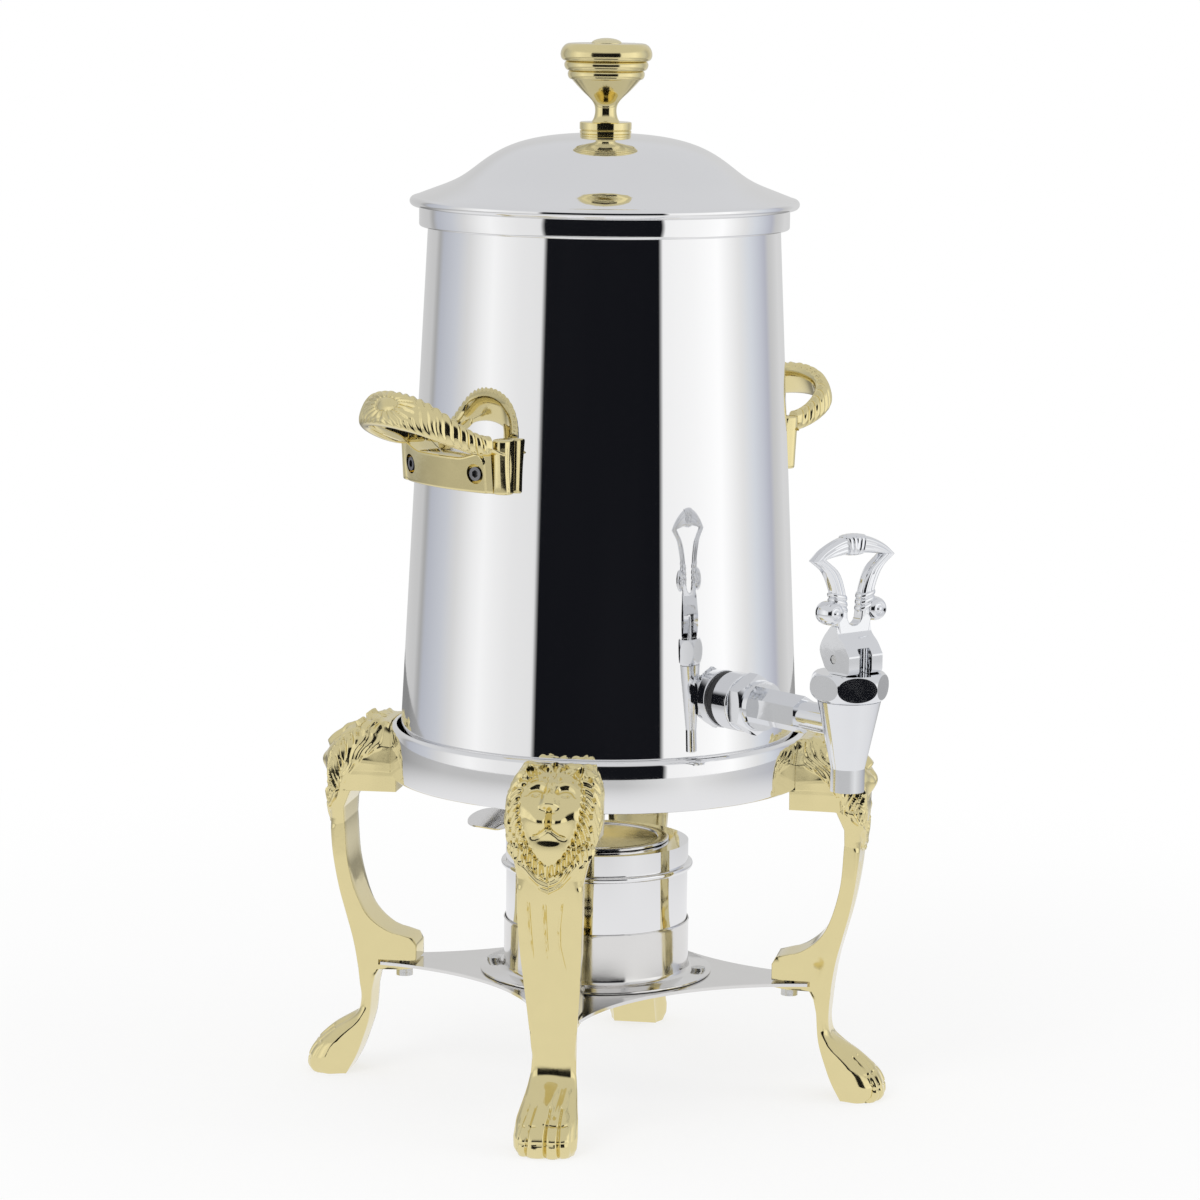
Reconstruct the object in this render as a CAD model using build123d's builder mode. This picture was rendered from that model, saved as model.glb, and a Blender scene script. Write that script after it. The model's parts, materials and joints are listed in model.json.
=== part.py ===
from build123d import *
from math import atan2, cos, degrees, hypot, radians, sin, sqrt
import os

os.makedirs("parts", exist_ok=True)

# Coffee urn on a four-legged stand, warmed by a fuel burner. Millimetres.
# Frame: origin on the urn's axis at the floor, +Z up, tap towards -Y, side handles along +X and -X.

# ---------------------------------------------------------------- fits
JOINT_GAP = 0.02  # between curved faces of pieces that are fixed together
THREAD_GAP = 0.05  # radial, between the two halves of a thread, both modelled plain
HOLE_SLACK = 0.25  # radial, round a screw in the piece that it clamps
RUNNING_GAP = 0.05  # radial, round a pin or stem that turns or slides
LOOSE_GAP = 0.3  # between pieces that are lifted apart by hand
HOLE_SPARE = 1.0  # how far a blind hole runs past its screw
SPARE = 5.0  # how far a cutting shape runs past what it cuts
ROUND_SHARE = 0.45  # of a thickness, so that a rounded edge keeps a narrow flat

# ---------------------------------------------------------------- stand: base ring
RING_BOTTOM = 162.0
RING_HEIGHT = 26.0
RING_WALL = 3.3
SEAT_CLEARANCE = 1.3  # round the vessel's foot
SEAT_RISE = 10.0  # from the ring's lower edge up to the ledge that the vessel stands on
LEDGE_THICKNESS = 2.0
LEDGE_WIDTH = 10.0
RING_TOP = RING_BOTTOM + RING_HEIGHT
SEAT_Z = RING_BOTTOM + SEAT_RISE

# ---------------------------------------------------------------- stand: star plate
PLATE_BOTTOM = 58.6
PLATE_THICKNESS = 1.6
PLATE_REACH = 4.9  # of each arm's end past the ring's face
ARM_HALF_WIDTH = 11.0
WAIST_MARGIN = 3.7  # from the cup's flange out to the middle of each concave edge
PLATE_TOP = PLATE_BOTTOM + PLATE_THICKNESS

# ---------------------------------------------------------------- stand: legs
LEG_COUNT = 4
LEG_ANGLE = 40.1  # of the back right leg, from +X
LEG_HALF_WIDTH = 23.2  # half of the widest stretch of the leg, across the head
# Side view, as (distance out from the ring's face, height above a datum). The datum of the head
# is the ring's lower edge, that of the knee the plate's underside, that of the paw the floor.
HEAD_FRONT = [(0.0, 25.5), (17.5, 20.5), (30.0, 11.0), (34.0, -3.0), (31.2, -27.0)]
KNEE_FRONT = [(25.9, 39.0), (17.6, 1.4)]
PAW_FRONT = [(16.1, 39.0), (25.0, 27.0), (39.5, 16.0), (45.8, 6.0), (45.0, 0.0)]
BLOCK_TUCK = 5.0  # how far the shelf under the ring reaches in past the ring's face
BLOCK_DEPTH = 10.5
BLOCK_CORNER = 4.0  # cut across between the shelf and the leg
HEAD_BACK = [(22.9, -20.0), (22.9, -28.0)]
KNEE_BACK = [(20.5, 51.4), (13.4, 29.4), (1.9, 18.4), (-10.8, 15.1)]
BOSS_END = -13.8
BOSS_LIP = 2.4  # metal under the plate
BOSS_CORNER = 4.0  # cut across between the boss and the shank below it
BOSS_ROUND = 1.5
KNEE_ROUND = 2.5
PAW_BACK = [(9.6, 45.0), (11.0, 30.0), (17.9, 8.5), (22.7, 0.0)]
# Front view, as (half width, height above the same datums).
HEAD_SIDE = [(14.0, 27.0), (20.5, 21.0), (LEG_HALF_WIDTH, 8.0), (20.5, -10.0), (16.0, -27.0)]
KNEE_SIDE = [(16.0, 56.0), (13.4, 16.4), (11.5, -5.0)]
PAW_SIDE = [(10.8, 43.0), (12.2, 26.0), (15.5, 6.0), (15.5, 0.0)]

# ---------------------------------------------------------------- stand: screws and bolts
LEG_SCREW_RADIUS = 2.0
LEG_SCREW_HEAD_RADIUS = 3.4
LEG_SCREW_HEAD = 2.4
LEG_SCREW_REACH = 9.0  # into the leg
LEG_SCREW_TURN = 5.0  # degrees each side of the leg's middle
LEG_SCREW_RISE = 4.0  # above the ring's lower edge
TRAY_BOLT_RADIUS = 2.5
TRAY_BOLT_HEAD_RADIUS = 4.3
TRAY_BOLT_HEAD = 4.6
TRAY_BOLT_REACH = 9.0  # above the plate
TRAY_BOLT_SETBACK = 5.6  # from the ring's face in to the bolt

# ---------------------------------------------------------------- burner
CUP_RADIUS = 47.3
CUP_WALL = 0.6
CUP_FLOOR = 1.0
CUP_HEIGHT = 27.5
CUP_SCREW_SETOUT = 6.0  # from the cup's side out to its screws
FLANGE_MARGIN = 6.0  # from the screws out to the flange's edge
CUP_SCREW_RADIUS = 2.0
CUP_SCREW_HEAD_RADIUS = 3.6
CUP_SCREW_HEAD = 2.2
CUP_NUT_ACROSS = 7.0
CUP_NUT_HEIGHT = 3.2
CUP_SCREW_TAIL = 1.0  # of thread past the nut
CANISTER_WALL = 0.8
CANISTER_HEIGHT = 56.8
CANISTER_BEAD = 2.6  # how far the rolled rim stands out
CANISTER_BEAD_HEIGHT = 3.4
CAP_HEIGHT = 10.4
CAP_WALL = 0.8
CAP_TOP = 1.2
CAP_FLARE = 0.3  # how far the cap's side stands out past the canister's
CAP_LEDGE = 16.7  # from the cap's side in to its opening
CAP_PLUG = 8.0  # depth of the cap's neck inside the canister
DAMPER_LAP = 6.5  # of the cover past the opening
DAMPER_RIM = 5.5
DAMPER_SHEET = 0.8
DAMPER_LIP = 1.4
DAMPER_TAB_ANGLE = 102.8
DAMPER_TAB_OVERHANG = 36.3  # of the thumb tab past the cap's side
DAMPER_TAB_WIDTH = 18.0
RIVET_ANGLE = 169.8
RIVET_MARGIN = 4.5  # from the damper's edge out to the rivet
RIVET_RADIUS = 1.5
RIVET_HEAD_RADIUS = 3.0
RIVET_TAIL_RADIUS = 2.4
RIVET_HEAD = 1.0
DAMPER_EAR = 4.4  # radius of the ear round the rivet

CUP_Z = PLATE_TOP
CANISTER_Z = CUP_Z + CUP_FLOOR
CANISTER_RADIUS = CUP_RADIUS - CUP_WALL - LOOSE_GAP
CANISTER_TOP = CANISTER_Z + CANISTER_HEIGHT
CUP_SCREW_CIRCLE = CUP_RADIUS + CUP_SCREW_SETOUT
FLANGE_RADIUS = CUP_SCREW_CIRCLE + FLANGE_MARGIN
WAIST_RADIUS = FLANGE_RADIUS + WAIST_MARGIN
CAP_Z = CANISTER_TOP + CAP_HEIGHT
CAP_RADIUS = CANISTER_RADIUS + CAP_FLARE
CAP_OPENING = CAP_RADIUS - CAP_LEDGE
DAMPER_Z = CAP_Z + LOOSE_GAP
DAMPER_RADIUS = CAP_OPENING + DAMPER_LAP
DAMPER_DISH = DAMPER_RADIUS - DAMPER_RIM
TAB_CENTRE = CAP_RADIUS + DAMPER_TAB_OVERHANG - DAMPER_TAB_WIDTH / 2
RIVET_CIRCLE = DAMPER_RADIUS + RIVET_MARGIN

# ---------------------------------------------------------------- vessel
WALL_FOOT_RADIUS = 101.5
WALL_TOP_RADIUS = 88.45
WALL_HEIGHT = 269.0
WALL_SHEET = 1.0
BOTTOM_RISE = 3.0  # from the wall's foot to the bottom's underside
BOTTOM_SHEET = 1.5
BAND_STEP = 4.45  # how far the band stands out past the wall's top
BAND_HEIGHT = 10.0
BAND_ROUND = 1.2
WALL_TOP = SEAT_Z + WALL_HEIGHT
BAND_TOP = WALL_TOP + BAND_HEIGHT
BAND_RADIUS = WALL_TOP_RADIUS + BAND_STEP
BAND_BORE = WALL_TOP_RADIUS - WALL_SHEET
LEAN = (WALL_FOOT_RADIUS - WALL_TOP_RADIUS) / WALL_HEIGHT
RING_BORE = WALL_FOOT_RADIUS + SEAT_CLEARANCE
RING_RADIUS = RING_BORE + RING_WALL
PLATE_TIP = RING_RADIUS + PLATE_REACH
TRAY_BOLT_CIRCLE = RING_RADIUS - TRAY_BOLT_SETBACK
LEG_ANGLES = [LEG_ANGLE + 360 / LEG_COUNT * k for k in range(LEG_COUNT)]

# ---------------------------------------------------------------- lid and knob
LID_SHEET = 1.0
LID_RISE = 36.4  # from the band's top to the lid's flat top
LID_BEAD = 2.4
LID_OVERHANG = 4.8  # of the lid's bead past the band
# The lid's ogee, as (share of the way in from the shoulder, share of the way up).
LID_OGEE = [
    (0.0, 0.0),
    (0.133, 0.13),
    (0.284, 0.30),
    (0.435, 0.579),
    (0.585, 0.797),
    (0.738, 0.918),
    (1.0, 1.0),
]
SKIRT_DEPTH = 9.0
SKIRT_SHEET = 1.0
COLLAR_RADIUS = 13.0
COLLAR_HEIGHT = 6.0
COLLAR_ROUND = 0.6
COLLAR_MARGIN = 2.0  # of flat lid round the collar
# Knob, as (radius, height above the collar).
KNOB_NECK = [(7.0, 0.0), (5.3, 5.5), (6.9, 10.6)]
KNOB_FLARE = [(12.7, 15.6), (17.2, 21.1)]
KNOB_RIB_SIZES = [(19.2, 4.3), (21.0, 4.8), (22.8, 8.8)]  # radius and height of each rib, upwards
KNOB_RIB_GROOVE = 1.0
KNOB_TOP_ROUND = 2.6
BUTTON_RADIUS = 7.6
BUTTON_EDGE = 0.8
BUTTON_DOME = 1.8
BUTTON_STEM_RADIUS = 3.0
BUTTON_STEM = 6.0
KNOB_SCREW_RADIUS = 3.0
KNOB_SCREW_HEAD_RADIUS = 5.0
KNOB_SCREW_HEAD = 4.0
KNOB_SCREW_REACH = 16.0  # above the lid
KNOB_WASHER_RADIUS = 9.0
KNOB_WASHER = 1.6
LID_RIM_RADIUS = BAND_RADIUS + LID_OVERHANG
LID_FLAT_RADIUS = COLLAR_RADIUS + COLLAR_MARGIN

# ---------------------------------------------------------------- side handles
HANDLE_DROP = 124.5  # from the wall's top down to the plate's lower edge
HANDLE_PLATE_HEIGHT = 18.0
HANDLE_POST_HEIGHT = 27.0  # of the posts at the plate's ends, which carry the grip
HANDLE_POST_TURN = 5.5  # degrees round the wall that each post takes
HANDLE_STANDOFF = 11.0  # of the plate's outer face from the wall at its lower edge
HANDLE_FACE_THICKNESS = 7.0
HANDLE_HALF_ANGLE = 24.0
HANDLE_RIM = 3.5
HANDLE_ROUND = 1.5
GRIP_HALF_WIDTH = 37.5
GRIP_BAND = 18.0
GRIP_THICKNESS = 9.0
GRIP_SETBACK = 7.5  # of the grip's ends behind the plate's outer face
GRIP_START_RISE = 18.0  # above the plate's lower edge
GRIP_OUT = 36.5
GRIP_UP = 23.0
HANDLE_SCREW_TURN = 14.0
HANDLE_SCREW_RISE = 9.5
HANDLE_SCREW_RADIUS = 2.0
HANDLE_SCREW_HEAD_RADIUS = 3.4
HANDLE_SCREW_HEAD = 4.0
HANDLE_SCREW_CLEAR = 0.6  # between the screw's tip and the wall
HANDLE_SCREW_SOCKET = 1.7
COUNTERBORE_RADIUS = 4.9
COUNTERBORE_DEPTH = 4.2
BUSH_RADIUS = 4.5

# ---------------------------------------------------------------- tap
TAP_RISE = 42.7  # from the vessel's foot up to the shank's axis
SHANK_RADIUS = 7.8
SHANK_BORE = 5.0
SHANK_INSIDE = 16.0  # length of the shank inside the vessel
GASKET_THICKNESS = 2.2
GASKET_INSET = 0.5
FLANGE_WASHER_RADIUS = 14.3
FLANGE_WASHER_LENGTH = 11.0
FLANGE_WASHER_ROUND = 0.8
LOCKNUT_ACROSS = 26.5
LOCKNUT_LENGTH = 9.0
LOCKNUT_FACE_RADIUS = 12.7
LOCKNUT_CHAMFER = 1.6
SHOULDER_RADIUS = 12.2
SHOULDER_LENGTH = 3.6
HEX_TUBE_ACROSS = 16.0
HEX_TUBE_LENGTH = 29.0
NECK_RADIUS = 7.2
NECK_LENGTH = 30.7  # from the hexagonal tube to the valve's axis
INNER_NUT_ACROSS = 24.0
INNER_NUT_LENGTH = 6.0
SPOUT_DROP = 32.4  # from the shank's axis down to the spout's mouth
SPOUT_RADIUS = 8.2
SPOUT_BORE = 6.2
SPOUT_TUBE = 11.2
CONE_TOP_RADIUS = 15.3
CONE_RISE = 11.8  # from the shank's axis up to the cone's top
SEAT_DROP = 11.5  # from the shank's axis down to the valve's seat
SEAT_BORE = 4.2
SEAT_THICKNESS = 2.0
CHAMBER_CLEARANCE = 1.6  # round the stem's disc
BONNET_ACROSS = 33.5
BONNET_HEIGHT = 13.5
BONNET_TOP_RADIUS = 16.4
BONNET_FOOT_RADIUS = 15.0
BONNET_THREAD_RADIUS = 10.4
BONNET_THREAD = 7.0
BONNET_BORE_RISE = 5.0  # from the bonnet's foot up to the roof of its bore
STEM_RADIUS = 3.0
STEM_DISC_RADIUS = 6.0
STEM_DISC = 1.6
STEM_HEAD = 4.0  # above the pin
CUP_SEAT_RADIUS = 5.8
CUP_SEAT_HEIGHT = 7.0
SPRING_WIRE = 0.6
SPRING_TURNS = 5
SPRING_CLEAR = 0.1  # between the coil's ends and what they press on
PIN_RADIUS = 1.9
PIN_RISE = 7.0  # above the bonnet
PIN_INSET = 0.5

TAP_HEIGHT = SEAT_Z + TAP_RISE
SPOUT_Z = TAP_HEIGHT - SPOUT_DROP
VALVE_SEAT_Z = TAP_HEIGHT - SEAT_DROP
CONE_TOP_Z = TAP_HEIGHT + CONE_RISE
BONNET_TOP_Z = CONE_TOP_Z + BONNET_HEIGHT
PIN_Z = BONNET_TOP_Z + PIN_RISE
CUP_SEAT_TOP = VALVE_SEAT_Z + CUP_SEAT_HEIGHT
SPRING_FOOT_Z = CUP_SEAT_TOP + STEM_DISC
BONNET_CEILING = CONE_TOP_Z + BONNET_BORE_RISE
CHAMBER_RADIUS = STEM_DISC_RADIUS + CHAMBER_CLEARANCE
SPRING_RADIUS = STEM_DISC_RADIUS - SPRING_WIRE

# ---------------------------------------------------------------- tap lever
LEVER_HALF_WIDTH = 11.0
LEVER_SLOT = 8.0
LEVER_SLOT_RISE = 5.6  # above the pin
# Side view of the ears, as (distance towards the user, height above the pin).
EAR_FRONT = [(11.0, 2.5), (7.5, 7.6), (3.2, 11.8), (2.2, 15.7)]
EAR_BACK = [(-2.2, 15.7), (-7.2, 9.6), (-9.4, 3.5), (-6.0, -4.0)]
EAR_UNDERSIDE = -2.0  # where the ears' flat underside starts
HEEL_ROUND = 2.0
# Front view of the loop's right half, as (distance from the middle, height above the pin).
NECK_HALF_WIDTH = 9.5
NECK_RISE = 16.0
NECK_FOOT = 12.0  # inside the ears
SCROLL_CENTRE = (14.1, 21.9)
SCROLL_RADIUS = 6.3
LIMB_OUTSIDE = [(12.5, 27.0), (13.8, 34.0), (18.5, 42.5), (26.2, 48.3)]
LIMB_INSIDE = [(4.4, 19.0), (5.2, 30.0), (9.5, 42.0), (18.5, 48.8)]
CROWN_TOP = 59.0
CROWN_TOP_SIDE = (13.6, 56.4)
CROWN_INSIDE = 50.2
CROWN_INSIDE_SIDE = (9.25, 49.8)
LOOP_THICKNESS = 7.0

BORE_THROUGH = 400.0  # longer than any piece that a cut goes through


# ---------------------------------------------------------------- helpers
def outline(points, plane=Plane.XZ):
    """A flat polygon through the points."""
    with BuildSketch(plane) as section:
        with BuildLine():
            Polyline(*points, close=True)
        make_face()
    return section.sketch


def band(inner, outer, low, high, plane=Plane.XZ):
    """An upright rectangle, for turning about the axis at its left."""
    return outline([(inner, low), (outer, low), (outer, high), (inner, high)], plane)


def rod(plane, radius, length, mode=Mode.ADD):
    """A round bar that stands on the plane and runs along its normal."""
    with BuildSketch(plane) as section:
        Circle(radius)
    extrude(section.sketch, amount=length, mode=mode)


def hex_bar(plane, across, length, mode=Mode.ADD):
    """A hexagonal bar that stands on the plane, with a flat to each side."""
    with BuildSketch(plane) as section:
        RegularPolygon(across / 2, 6, major_radius=False, rotation=30)
    extrude(section.sketch, amount=length, mode=mode)


def radial_plane(angle, height, radius=0.0):
    """A plane that faces outward from the urn's axis, with its own Y upright."""
    x, y = cos(radians(angle)), sin(radians(angle))
    return Plane(origin=(radius * x, radius * y, height), x_dir=(-y, x, 0), z_dir=(x, y, 0))


def spot(angle, radius, height):
    """A level plane at a place on a circle round the urn's axis."""
    return Plane(origin=(radius * cos(radians(angle)), radius * sin(radians(angle)), height))


def tap_plane(distance):
    """A plane across the tap's shank, at a distance from the urn's axis."""
    return radial_plane(-90, TAP_HEIGHT, distance)


def valve_plane(height):
    """A level plane on the valve's axis."""
    return Plane(origin=(0, -TAP_REACH, height))


def across_tap(x):
    """An upright plane across the lever's pin, facing +X."""
    return Plane(origin=(x, -TAP_REACH, PIN_Z), x_dir=(0, 1, 0), z_dir=(1, 0, 0))


def wall_radius(height):
    """Outer radius of the vessel's wall."""
    return WALL_FOOT_RADIUS - LEAN * (height - SEAT_Z)


def cone(low, high, grow):
    """The solid that the wall encloses between two heights, with its radius grown."""
    corners = [(0, low), (wall_radius(low) + grow, low), (wall_radius(high) + grow, high), (0, high)]
    with BuildPart() as inside:
        revolve(outline(corners), axis=Axis.Z)
    return inside.part


def write(shape, name):
    """Label a finished piece and write its STEP file."""
    shape.label = name
    export_step(shape, f"parts/{name}.step")


def leg_point(point, datum):
    """A point of the leg's side view in the plane of the leg."""
    return (RING_RADIUS + point[0], datum + point[1])


# ---------------------------------------------------------------- base ring
with BuildPart() as base_ring:
    bead = RING_WALL / 2
    revolve(band(RING_BORE, RING_RADIUS, RING_BOTTOM, RING_TOP - bead), axis=Axis.Z)
    with BuildSketch(Plane.XZ) as bead_section:
        with Locations((RING_RADIUS - bead, RING_TOP - bead)):
            Circle(bead)
    revolve(bead_section.sketch, axis=Axis.Z)
    revolve(band(RING_BORE - LEDGE_WIDTH, RING_BORE, SEAT_Z - LEDGE_THICKNESS, SEAT_Z), axis=Axis.Z)
    for angle in LEG_ANGLES:
        for turn in (-LEG_SCREW_TURN, LEG_SCREW_TURN):
            screw_axis = radial_plane(angle + turn, RING_BOTTOM + LEG_SCREW_RISE)
            rod(screw_axis, LEG_SCREW_RADIUS + HOLE_SLACK, BORE_THROUGH, Mode.SUBTRACT)
write(base_ring.part, "base_ring")

# ---------------------------------------------------------------- legs
# One casting: its side view, pushed out sideways, cut to its front view.
front_line = [leg_point(p, RING_BOTTOM) for p in HEAD_FRONT]
front_line += [leg_point(p, PLATE_BOTTOM) for p in KNEE_FRONT]
front_line += [leg_point(p, 0) for p in PAW_FRONT]
strap_line = [leg_point(p, RING_BOTTOM) for p in HEAD_BACK]
strap_line += [leg_point(p, PLATE_BOTTOM) for p in KNEE_BACK]
heel_line = [leg_point(p, 0) for p in PAW_BACK]
block_low = RING_BOTTOM - BLOCK_DEPTH
boss_low = PLATE_BOTTOM - BOSS_LIP
boss_end = RING_RADIUS + BOSS_END
knee_low = strap_line[-1][1] - KNEE_ROUND
side_line = [(p[0], RING_BOTTOM + p[1]) for p in HEAD_SIDE]
side_line += [(p[0], PLATE_BOTTOM + p[1]) for p in KNEE_SIDE]
side_line += PAW_SIDE
ring_face = RING_RADIUS + JOINT_GAP

with BuildPart() as leg:
    with BuildSketch(Plane.XZ) as side_view:
        with BuildLine():
            Spline(*front_line)
            Line(front_line[-1], heel_line[-1])
            Spline(*reversed(heel_line))
            Polyline(
                heel_line[0],
                (heel_line[0][0] - BOSS_CORNER, boss_low),
                (boss_end + BOSS_ROUND, boss_low),
                (boss_end, boss_low + BOSS_ROUND),
                (boss_end, knee_low),
                strap_line[-1],
            )
            Spline(*reversed(strap_line))
            Polyline(
                strap_line[0],
                (strap_line[0][0] - BLOCK_CORNER, block_low),
                (RING_RADIUS - BLOCK_TUCK, block_low),
                (RING_RADIUS - BLOCK_TUCK, RING_BOTTOM),
                (RING_RADIUS, RING_BOTTOM),
                front_line[0],
            )
        make_face()
    extrude(side_view.sketch, amount=LEG_HALF_WIDTH + SPARE, both=True)
    with BuildSketch(Plane.YZ) as front_view:
        with BuildLine():
            Spline(*side_line)
            Line(side_line[-1], (0, side_line[-1][1]))
            Line((0, side_line[-1][1]), (0, side_line[0][1]))
            Line((0, side_line[0][1]), side_line[0])
        make_face()
        mirror(about=Plane.YZ)
    extrude(front_view.sketch, amount=BORE_THROUGH, mode=Mode.INTERSECT)
    revolve(band(0, ring_face, RING_BOTTOM, RING_TOP + SPARE), axis=Axis.Z, mode=Mode.SUBTRACT)
    with BuildSketch(Plane.XY.offset(PLATE_BOTTOM)) as slot:
        with Locations((PLATE_TIP + LOOSE_GAP, 0)):
            Rectangle(PLATE_TIP, 2 * (LEG_HALF_WIDTH + SPARE), align=(Align.MAX, Align.CENTER))
    extrude(slot.sketch, amount=PLATE_THICKNESS, mode=Mode.SUBTRACT)
    rod(spot(0, TRAY_BOLT_CIRCLE, boss_low), TRAY_BOLT_RADIUS + HOLE_SLACK, BOSS_LIP, Mode.SUBTRACT)
    thread_start = spot(0, TRAY_BOLT_CIRCLE, PLATE_TOP)
    rod(thread_start, TRAY_BOLT_RADIUS + THREAD_GAP, TRAY_BOLT_REACH + HOLE_SPARE, Mode.SUBTRACT)
    for turn in (-LEG_SCREW_TURN, LEG_SCREW_TURN):
        screw_axis = radial_plane(turn, RING_BOTTOM + LEG_SCREW_RISE)
        hole_end = RING_RADIUS + LEG_SCREW_REACH + HOLE_SPARE
        rod(screw_axis, LEG_SCREW_RADIUS + THREAD_GAP, hole_end, Mode.SUBTRACT)

LEG_NAMES = ["leg_back_right", "leg_back_left", "leg_front_left", "leg_front_right"]
for angle, leg_name in zip(LEG_ANGLES, LEG_NAMES):
    write(leg.part.rotate(Axis.Z, angle), leg_name)

with BuildPart() as leg_screws:
    head_face = sqrt(RING_BORE**2 - LEG_SCREW_HEAD_RADIUS**2) - JOINT_GAP
    shank = RING_RADIUS + LEG_SCREW_REACH - head_face
    height = RING_BOTTOM + LEG_SCREW_RISE
    for angle in LEG_ANGLES:
        for turn in (-LEG_SCREW_TURN, LEG_SCREW_TURN):
            rod(radial_plane(angle + turn, height, head_face), LEG_SCREW_RADIUS, shank)
            head_end = radial_plane(angle + turn, height, head_face - LEG_SCREW_HEAD)
            rod(head_end, LEG_SCREW_HEAD_RADIUS, LEG_SCREW_HEAD)
write(leg_screws.part, "leg_screws")

# ---------------------------------------------------------------- star plate and its bolts
with BuildPart() as tray_plate:
    diagonal = WAIST_RADIUS / sqrt(2)
    with BuildSketch(Plane.XY.offset(PLATE_BOTTOM)) as star:
        with BuildLine():
            for angle in LEG_ANGLES:
                turn = Rot(Z=angle)
                corners = [
                    (PLATE_TIP, -ARM_HALF_WIDTH),
                    (PLATE_TIP, ARM_HALF_WIDTH),
                    (diagonal, diagonal),
                    (ARM_HALF_WIDTH, PLATE_TIP),
                ]
                placed = [(turn * Pos(x, y, 0)).position for x, y in corners]
                Line(placed[0], placed[1])
                ThreePointArc(placed[1], placed[2], placed[3])
        make_face()
    extrude(star.sketch, amount=PLATE_THICKNESS)
    for angle in LEG_ANGLES:
        bolt_place = spot(angle, TRAY_BOLT_CIRCLE, PLATE_BOTTOM)
        rod(bolt_place, TRAY_BOLT_RADIUS + HOLE_SLACK, PLATE_THICKNESS, Mode.SUBTRACT)
        screw_place = spot(angle, CUP_SCREW_CIRCLE, PLATE_BOTTOM)
        rod(screw_place, CUP_SCREW_RADIUS + HOLE_SLACK, PLATE_THICKNESS, Mode.SUBTRACT)
write(tray_plate.part, "tray_plate")

with BuildPart() as tray_bolts:
    bolt_length = BOSS_LIP + PLATE_THICKNESS + TRAY_BOLT_REACH
    for angle in LEG_ANGLES:
        bolt_foot = spot(angle, TRAY_BOLT_CIRCLE, boss_low - TRAY_BOLT_HEAD)
        rod(bolt_foot, TRAY_BOLT_HEAD_RADIUS, TRAY_BOLT_HEAD)
        rod(spot(angle, TRAY_BOLT_CIRCLE, boss_low), TRAY_BOLT_RADIUS, bolt_length)
write(tray_bolts.part, "tray_bolts")

# ---------------------------------------------------------------- burner: cup on the plate
with BuildPart() as fuel_cup:
    revolve(band(0, FLANGE_RADIUS, CUP_Z, CUP_Z + CUP_FLOOR), axis=Axis.Z)
    revolve(band(CUP_RADIUS - CUP_WALL, CUP_RADIUS, CUP_Z, CUP_Z + CUP_HEIGHT), axis=Axis.Z)
    for angle in LEG_ANGLES:
        screw_place = spot(angle, CUP_SCREW_CIRCLE, CUP_Z)
        rod(screw_place, CUP_SCREW_RADIUS + HOLE_SLACK, CUP_FLOOR, Mode.SUBTRACT)
write(fuel_cup.part, "fuel_cup")

with BuildPart() as fuel_cup_screws:
    tail_z = PLATE_BOTTOM - CUP_NUT_HEIGHT - CUP_SCREW_TAIL
    for angle in LEG_ANGLES:
        rod(spot(angle, CUP_SCREW_CIRCLE, tail_z), CUP_SCREW_RADIUS, CANISTER_Z - tail_z)
        rod(spot(angle, CUP_SCREW_CIRCLE, CANISTER_Z), CUP_SCREW_HEAD_RADIUS, CUP_SCREW_HEAD)
write(fuel_cup_screws.part, "fuel_cup_screws")

with BuildPart() as fuel_cup_nuts:
    for angle in LEG_ANGLES:
        under = spot(angle, CUP_SCREW_CIRCLE, PLATE_BOTTOM - CUP_NUT_HEIGHT)
        hex_bar(under, CUP_NUT_ACROSS, CUP_NUT_HEIGHT)
        rod(under, CUP_SCREW_RADIUS + THREAD_GAP, CUP_NUT_HEIGHT, Mode.SUBTRACT)
write(fuel_cup_nuts.part, "fuel_cup_nuts")

# ---------------------------------------------------------------- burner: canister, cap and damper
with BuildPart() as fuel_canister:
    inner = CANISTER_RADIUS - CANISTER_WALL
    revolve(band(0, CANISTER_RADIUS, CANISTER_Z, CANISTER_Z + CANISTER_WALL), axis=Axis.Z)
    revolve(band(inner, CANISTER_RADIUS, CANISTER_Z, CANISTER_TOP), axis=Axis.Z)
    with BuildSketch(Plane.XZ) as rolled_rim:
        with Locations((inner, CANISTER_TOP)):
            Rectangle(
                CANISTER_BEAD + CANISTER_WALL,
                CANISTER_BEAD_HEIGHT,
                align=(Align.MIN, Align.MAX),
            )
        fillet(rolled_rim.vertices().group_by(Axis.X)[-1], CANISTER_BEAD_HEIGHT * ROUND_SHARE)
    revolve(rolled_rim.sketch, axis=Axis.Z)
write(fuel_canister.part, "fuel_canister")

with BuildPart() as canister_cap:
    plug = CANISTER_RADIUS - CANISTER_WALL - LOOSE_GAP
    revolve(band(CAP_OPENING, CAP_RADIUS, CAP_Z - CAP_TOP, CAP_Z), axis=Axis.Z)
    revolve(band(CAP_RADIUS - CAP_WALL, CAP_RADIUS, CANISTER_TOP, CAP_Z), axis=Axis.Z)
    revolve(band(plug - CAP_WALL, plug, CANISTER_TOP - CAP_PLUG, CAP_Z), axis=Axis.Z)
    rod(spot(RIVET_ANGLE, RIVET_CIRCLE, CAP_Z - CAP_TOP), RIVET_RADIUS + JOINT_GAP, CAP_TOP, Mode.SUBTRACT)
write(canister_cap.part, "canister_cap")

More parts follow.
